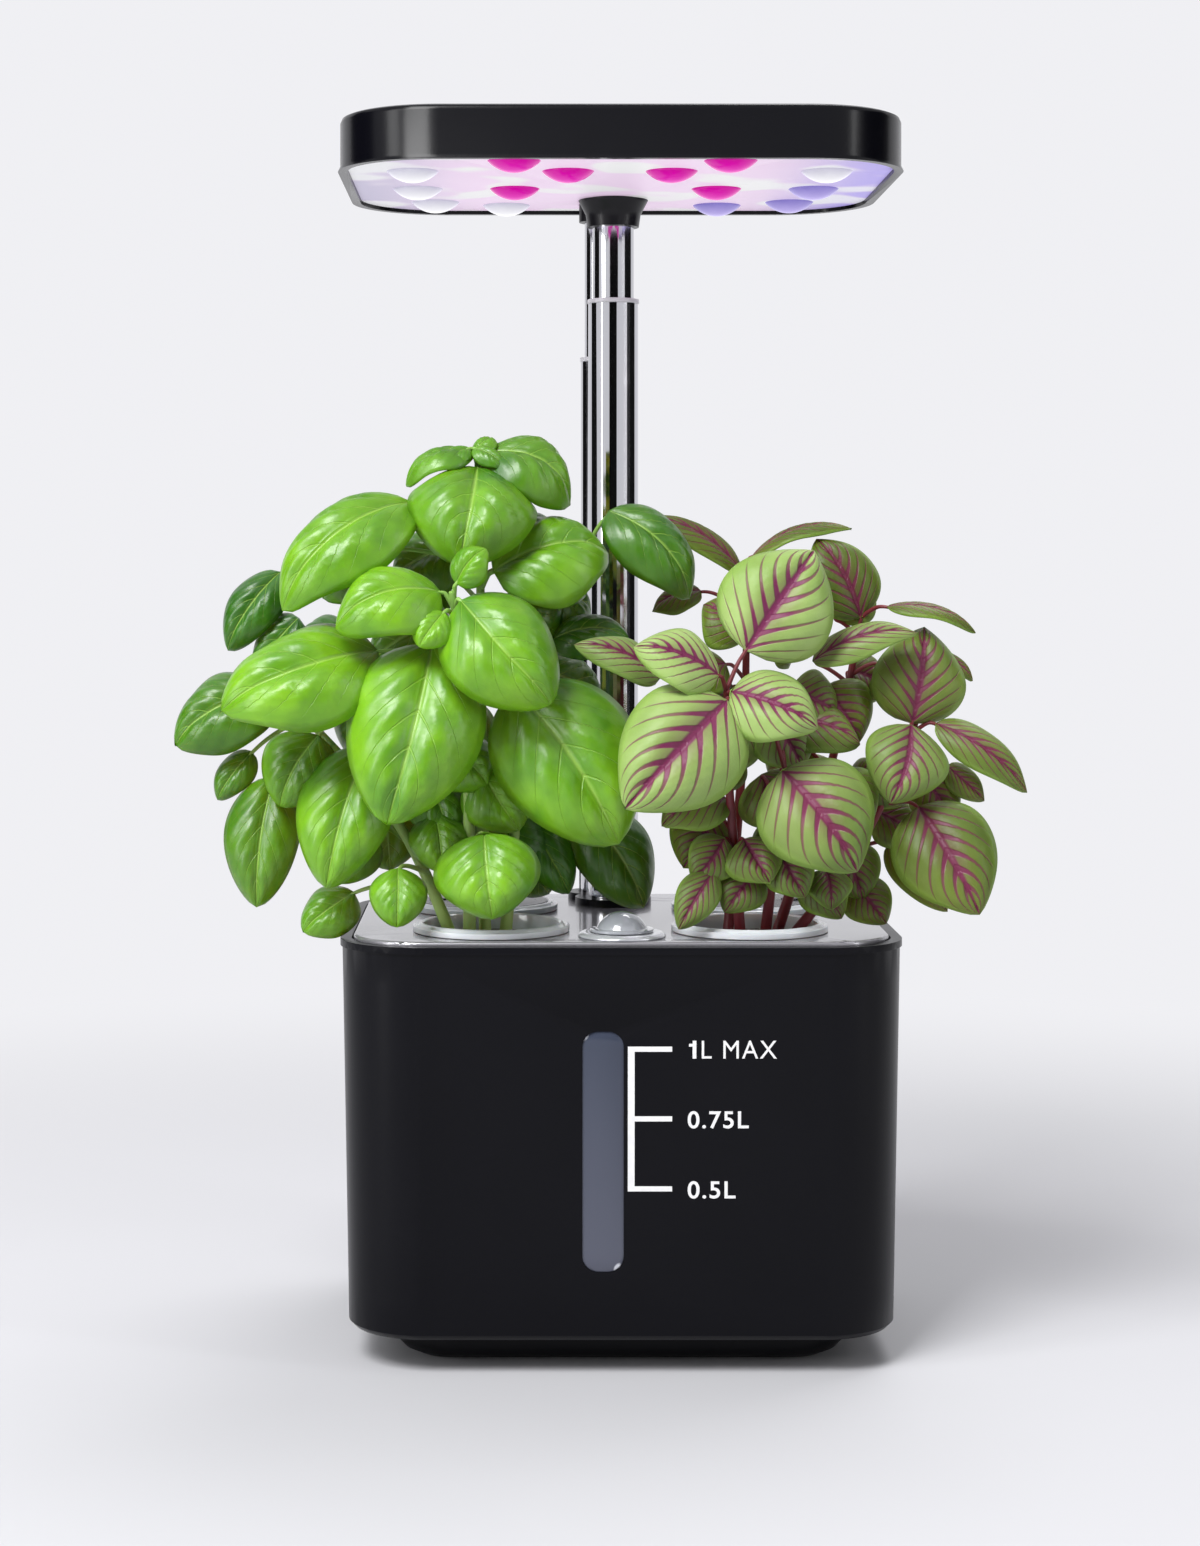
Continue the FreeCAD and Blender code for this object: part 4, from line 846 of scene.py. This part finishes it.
def amaranth_green():
    """Yellow-green with crimson veins, a crimson flush at the blade's base and painted shade on blades at the
    back and low down.
    """
    finish = Finish("amaranth_leaf", Subsurface_Weight=0.06, Specular_IOR_Level=0.4)
    across, along, tone = leaf_map(finish)
    veins = side_veins(across, along, amaranth_pairs, 0.62, 1.05)
    rib = 1.0 - across.size().step(0.02, 0.1)
    flush = (1.0 - across.size().step(0.0, 0.5)) * (1.0 - along.step(0.5, 0.95)) * 0.45
    cloud = finish.noise(48.0, 3.0)
    fine = finish.noise(1100.0, 3.0)
    # Painted shade: the tone darkens the green and the crimson of blades at the back and low down.
    deep = finish.blend(tone, paint((0.03, 0.07, 0.002)), paint((0.17, 0.3, 0.04)))
    bright = finish.blend(tone, paint((0.12, 0.17, 0.004)), paint((0.44, 0.58, 0.2)))
    green = finish.blend((cloud * 1.5 - 0.25).clamp(), deep, bright)
    green = finish.blend(across.size().step(0.8, 1.0) * 0.5, green, paint((0.24, 0.42, 0.05)))
    dark = finish.blend(tone, paint((0.06, 0.003, 0.006)), paint((0.12, 0.008, 0.055)))
    crimson = finish.blend(cloud, dark, paint((0.2, 0.018, 0.075)))
    ink = (veins * 0.8 + rib + flush).clamp() * (1.0 - across.size().step(0.78, 0.95))
    finish.set("Base Color", finish.blend(ink, green, crimson))
    finish.set("Roughness", 0.42 + fine * 0.12)
    finish.bump(fine * 0.3 - veins * 0.8 - rib * 1.4, 0.5, 0.0004)
    return finish.material


def stalk_finish(name, low, high, tone):
    """Stem colour that changes with height, with fine lengthwise ridges."""
    finish = Finish(name, Subsurface_Weight=0.08)
    up = ((finish.axis("Z") - stalk_bottom) / stalk_fade).clamp()
    ridge = finish.noise(1300.0, 2.0, (1, 1, 0.05))
    cloud = finish.noise(90.0, 3.0)
    colour = finish.blend(up, paint(low), paint(high))
    finish.set("Base Color", finish.blend(cloud * 0.5, colour, paint(tone)))
    finish.set("Roughness", 0.42 + ridge * 0.15)
    finish.bump(ridge, 0.3)
    return finish.material


basil_pairs = 5.0
amaranth_pairs = 6.5
stalk_bottom = 0.105
stalk_fade = 0.08
basil_leaf_finish = basil_green()
amaranth_leaf_finish = amaranth_green()
basil_stem_finish = stalk_finish("basil_stem", (0.34, 0.5, 0.13), (0.15, 0.38, 0.03), (0.5, 0.62, 0.22))
amaranth_stem_finish = stalk_finish("amaranth_stem", (0.09, 0.004, 0.012), (0.13, 0.012, 0.02),
                                    (0.22, 0.02, 0.03))
print("leaf and stem finishes ready")

# %% [markdown]
# All blades of one plant share a mesh, with their own UV maps. A Solidify modifier gives each blade the
# thin wall of a real leaf. The style holds how full, how quilted and how wavy a kind of leaf is, and where its
# painted shade starts.


# %% Build the foliage
blade_wall = 0.35 * mm
merge_blade = 0.000001


def foliage(name, rows, outline, material, body, node, seed, style):
    """All blades of one plant in one piece, with a thin wall."""
    work = bmesh.new()
    layer = work.loops.layers.uv.new("leaf")
    shade_layer = work.loops.layers.uv.new("tone")
    style = dict(style, chance=random.Random(seed))
    for row in rows:
        leaf_sheet(work, layer, shade_layer, row, outline, style)
    bmesh.ops.remove_doubles(work, verts=work.verts, dist=merge_blade)
    mesh = bpy.data.meshes.new(name)
    work.to_mesh(mesh)
    work.free()
    mesh.materials.append(material)
    mesh.shade_smooth()
    piece = bpy.data.objects.new(name, mesh)
    bpy.context.scene.collection.objects.link(piece)
    wall = piece.modifiers.new("blade_wall", "SOLIDIFY")
    wall.thickness = blade_wall
    wall.offset = -1
    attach(piece, body)
    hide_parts(node)
    print(name, len(mesh.polygons), "faces")


basil_style = {"swell": 1.24, "belly": 0.2, "droop": 0.24, "puff": 0.05, "pairs": basil_pairs,
               "tip_curl": 0.45, "ruffle": 0.04, "shade_depth": 22, "shade_fade_depth": 16, "shade_height": 60,
               "shade_fade_height": 60}
amaranth_style = {"swell": 1.22, "belly": 0.16, "droop": 0.18, "puff": 0.035, "pairs": amaranth_pairs,
                  "tip_curl": 0.3, "ruffle": 0.04, "shade_depth": 32, "shade_fade_depth": 14, "shade_height": 136,
                  "shade_fade_height": 40}
foliage("basil_foliage", basil_blades + basil_fillers, basil_outline, basil_leaf_finish, "basil_pot",
        "basil_leaves", 7, basil_style)
foliage("amaranth_foliage", amaranth_blades + amaranth_fillers, amaranth_outline, amaranth_leaf_finish,
        "amaranth_pot", "amaranth_leaves", 11, amaranth_style)

# %% [markdown]
# Stalks are round and bend softly, and every blade hangs on a thin stalk of its own. A curve with a round
# bevel is the quickest way to draw them: each point carries its own radius, so a stalk tapers by itself.
# The curve becomes a mesh at the end.

# %% Stalks
sponge_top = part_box("basil_sponge")[1].z / mm
basil_thickness = 1.7
amaranth_thickness = 1.5
search_steps = 12
bare_stem = 5
basil_stalks = [
    [(-35, -31), (-36, -31, 150), (-36, -31, 190), (-37, -31, 233)],
    [(-39, -35), (-39, -38, 140), (-40, -42, 170), (-43, -53, 197)],
    [(-30, -29), (-28, -26, 130), (-24, -22, 160), (-20, -20, 184)],
    [(-43, -31), (-52, -31, 130), (-68, -28, 150), (-89, -24, 171)],
]
amaranth_stalks = [
    [(31, -34), (29, -38, 130), (27, -42, 150), (26, -50, 172)],
    [(37, -32), (39, -36, 125), (40, -42, 140), (41, -47, 152)],
    [(40, -27), (50, -25, 135), (58, -24, 160), (63, -24, 190)],
    [(28, -25), (32, -16, 140), (34, -14, 170), (34, -14, 202)],
    [(42, -34), (56, -33, 122), (68, -33, 142), (76, -33, 162)],
]


def nearest_on(rods, place):
    """Point on the stalks nearest to a place that lies a little below a blade's base."""
    best = None
    for rod in rods:
        for low, high in zip(rod, rod[1:]):
            for step in range(search_steps + 1):
                point = low.lerp(high, step / search_steps)
                away = (point - place).length
                if point.z > sponge_top + bare_stem and (best is None or away < best[0]):
                    best = (away, point)
    return best[1]


def add_rod(curve, points, foot, top):
    """One tapering stalk through a few points, in millimetres."""
    spline = curve.splines.new("NURBS")
    spline.points.add(len(points) - 1)
    for count, point in enumerate(points):
        share = count / (len(points) - 1)
        spline.points[count].co = (*(point * mm), 1)
        spline.points[count].radius = (foot + (top - foot) * share) * mm
    spline.order_u = 3
    spline.use_endpoint_u = True
    spline.resolution_u = 6


def stalk_piece(name, rows, blades, thick, material, body, node):
    """Every stalk of one plant, with a small curved stalk to each blade."""
    curve = bpy.data.curves.new(name, "CURVE")
    curve.dimensions = "3D"
    curve.bevel_depth = 1.0
    curve.bevel_resolution = 3
    curve.use_fill_caps = True
    rods = [[Vector((*row[0], sponge_top - 2))] + [Vector(point) for point in row[1:]] for row in rows]
    for rod in rods:
        add_rod(curve, rod, thick, thick * 0.55)
    for base, tip, width, facing, arch in blades:
        base = Vector(base)
        ahead = (Vector(tip) - base).normalized()
        root = nearest_on(rods, base - Vector((0, 0, 5)))
        middle = root.lerp(base, 0.5) + Vector((0, 0, 1.2))
        add_rod(curve, [root, middle, base - ahead * 0.6, base + ahead * 2.5], thick * 0.42, thick * 0.26)
    holder = bpy.data.objects.new(name + "_curve", curve)
    bpy.context.scene.collection.objects.link(holder)
    bpy.context.view_layer.update()
    mesh = bpy.data.meshes.new_from_object(holder)
    bpy.data.objects.remove(holder)
    mesh.materials.clear()
    mesh.materials.append(material)
    mesh.shade_smooth()
    piece = bpy.data.objects.new(name, mesh)
    bpy.context.scene.collection.objects.link(piece)
    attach(piece, body)
    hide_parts(node)
    print(name, len(rods), "stalks")


stalk_piece("basil_stalks", basil_stalks, basil_blades + basil_fillers, basil_thickness, basil_stem_finish,
            "basil_pot", "basil_stems")
stalk_piece("amaranth_stalks", amaranth_stalks, amaranth_blades + amaranth_fillers, amaranth_thickness,
            amaranth_stem_finish, "amaranth_pot", "amaranth_stems")

# %% [markdown]
# A plain studio: a pale floor that fades into a near-white surround, two tall soft boxes that draw the
# upright highlights on the black tank, a soft light in front and one above, and dark cards around the
# camera. Photographers use such cards to keep black plastic black and to give chrome its dark streaks.
# The cards work by reflection alone, so the camera doesn't see them.


# %% Studio
ambient = 0.34
surround_white = (0.87, 0.87, 0.9)
fade_start = 0.14
fade_end = 0.6
floor_size = 12.0
card_height = 0.52


def floor_finish():
    """Pale floor that keeps the shadow near the object and melts into the surround further out."""
    finish = Finish("studio_floor", Roughness=0.9)
    cloud = finish.noise(3.0, 2.0)
    finish.set("Base Color", finish.blend(cloud, paint((0.56, 0.56, 0.585)), paint((0.59, 0.59, 0.615))))
    far = finish.node("ShaderNodeVectorMath", {"operation": "LENGTH"}, {0: finish.place()}, out=1)
    path = finish.node("ShaderNodeLightPath")
    seen = (path + Wave(finish, path.socket.node.outputs["Is Glossy Ray"])).clamp()
    glow = finish.node("ShaderNodeEmission", sockets={"Color": paint(surround_white), "Strength": 1.0})
    mix = finish.node("ShaderNodeMixShader", sockets={0: far.step(fade_start, fade_end) * seen,
                                                      1: Wave(finish, finish.shader.outputs[0]), 2: glow})
    finish.tree.links.new(mix.socket, finish.tree.nodes["Material Output"].inputs["Surface"])
    return finish.material


def flat_sheet(name, width, tall, matrix, material):
    """A plain rectangle that belongs to the studio."""
    work = bmesh.new()
    bmesh.ops.create_grid(work, x_segments=1, y_segments=1, size=0.5)
    bmesh.ops.scale(work, verts=work.verts, vec=(width, tall, 1))
    bmesh.ops.transform(work, matrix=matrix, verts=work.verts)
    mesh = bpy.data.meshes.new(name)
    work.to_mesh(mesh)
    work.free()
    mesh.materials.append(material)
    sheet = bpy.data.objects.new(name, mesh)
    bpy.context.scene.collection.objects.link(sheet)
    return sheet


def card_finish():
    """Black card without gloss."""
    finish = Finish("black_card", Roughness=0.9, Specular_IOR_Level=0.0)
    cloud = finish.noise(2.0, 2.0)
    finish.set("Base Color", finish.blend(cloud, paint((0.008, 0.008, 0.008)), paint((0.012, 0.012, 0.012))))
    return finish.material


def soft_box(name, place, aim, width, tall, power):
    """White area lamp that faces a point of the object."""
    data = bpy.data.lights.new(name, "AREA")
    data.shape = "RECTANGLE"
    data.size = width
    data.size_y = tall
    data.energy = power
    light = bpy.data.objects.new(name, data)
    light.location = place
    way = Vector(aim) - Vector(place)
    light.rotation_euler = way.to_track_quat("-Z", "Y").to_euler()
    bpy.context.scene.collection.objects.link(light)


def surround():
    """World that lights softly, and that the camera, the gloss and clear parts see as near white."""
    world = bpy.data.worlds.new("surround")
    bpy.context.scene.world = world
    world.use_nodes = True
    tree = world.node_tree
    background = tree.nodes["Background"]
    path = tree.nodes.new("ShaderNodeLightPath")
    seen = path.outputs["Is Camera Ray"]
    for ray in ("Is Glossy Ray", "Is Transmission Ray"):
        both = tree.nodes.new("ShaderNodeMath")
        both.operation = "MAXIMUM"
        tree.links.new(seen, both.inputs[0])
        tree.links.new(path.outputs[ray], both.inputs[1])
        seen = both.outputs[0]
    strength = tree.nodes.new("ShaderNodeMapRange")
    strength.inputs["To Min"].default_value = ambient
    strength.inputs["To Max"].default_value = 1.0
    tree.links.new(seen, strength.inputs["Value"])
    tree.links.new(strength.outputs[0], background.inputs["Strength"])
    background.inputs["Color"].default_value = paint(surround_white)


flat_sheet("studio_floor", floor_size, floor_size, Matrix.Identity(4), floor_finish())
card = card_finish()
upright = Matrix.Rotation(math.pi / 2, 4, "X")
for name, bearing, width, reach in (("card_behind_camera", 0, 1.1, 1.5), ("card_right", 95, 0.9, 1.1),
                                    ("card_left", -105, 0.8, 1.1)):
    turn = Matrix.Rotation(math.radians(bearing), 4, "Z")
    sheet = flat_sheet(name, width, 1.0, turn @ Matrix.Translation((0, -reach, card_height)) @ upright, card)
    sheet.visible_camera = False
surround()
soft_box("left_box", (-0.8, -0.5, 0.42), (0, 0, 0.12), 0.2, 0.9, 4.5)
soft_box("right_box", (0.85, -0.45, 0.42), (0, 0, 0.12), 0.08, 0.8, 1.6)
soft_box("key_box", (-0.45, -0.75, 1.05), (0, 0, 0.16), 0.5, 0.5, 16.0)
soft_box("top_box", (0.25, 0.35, 1.2), (0, 0, 0.2), 0.6, 0.6, 7.0)
bpy.context.scene.view_settings.view_transform = "Standard"
print("studio ready")
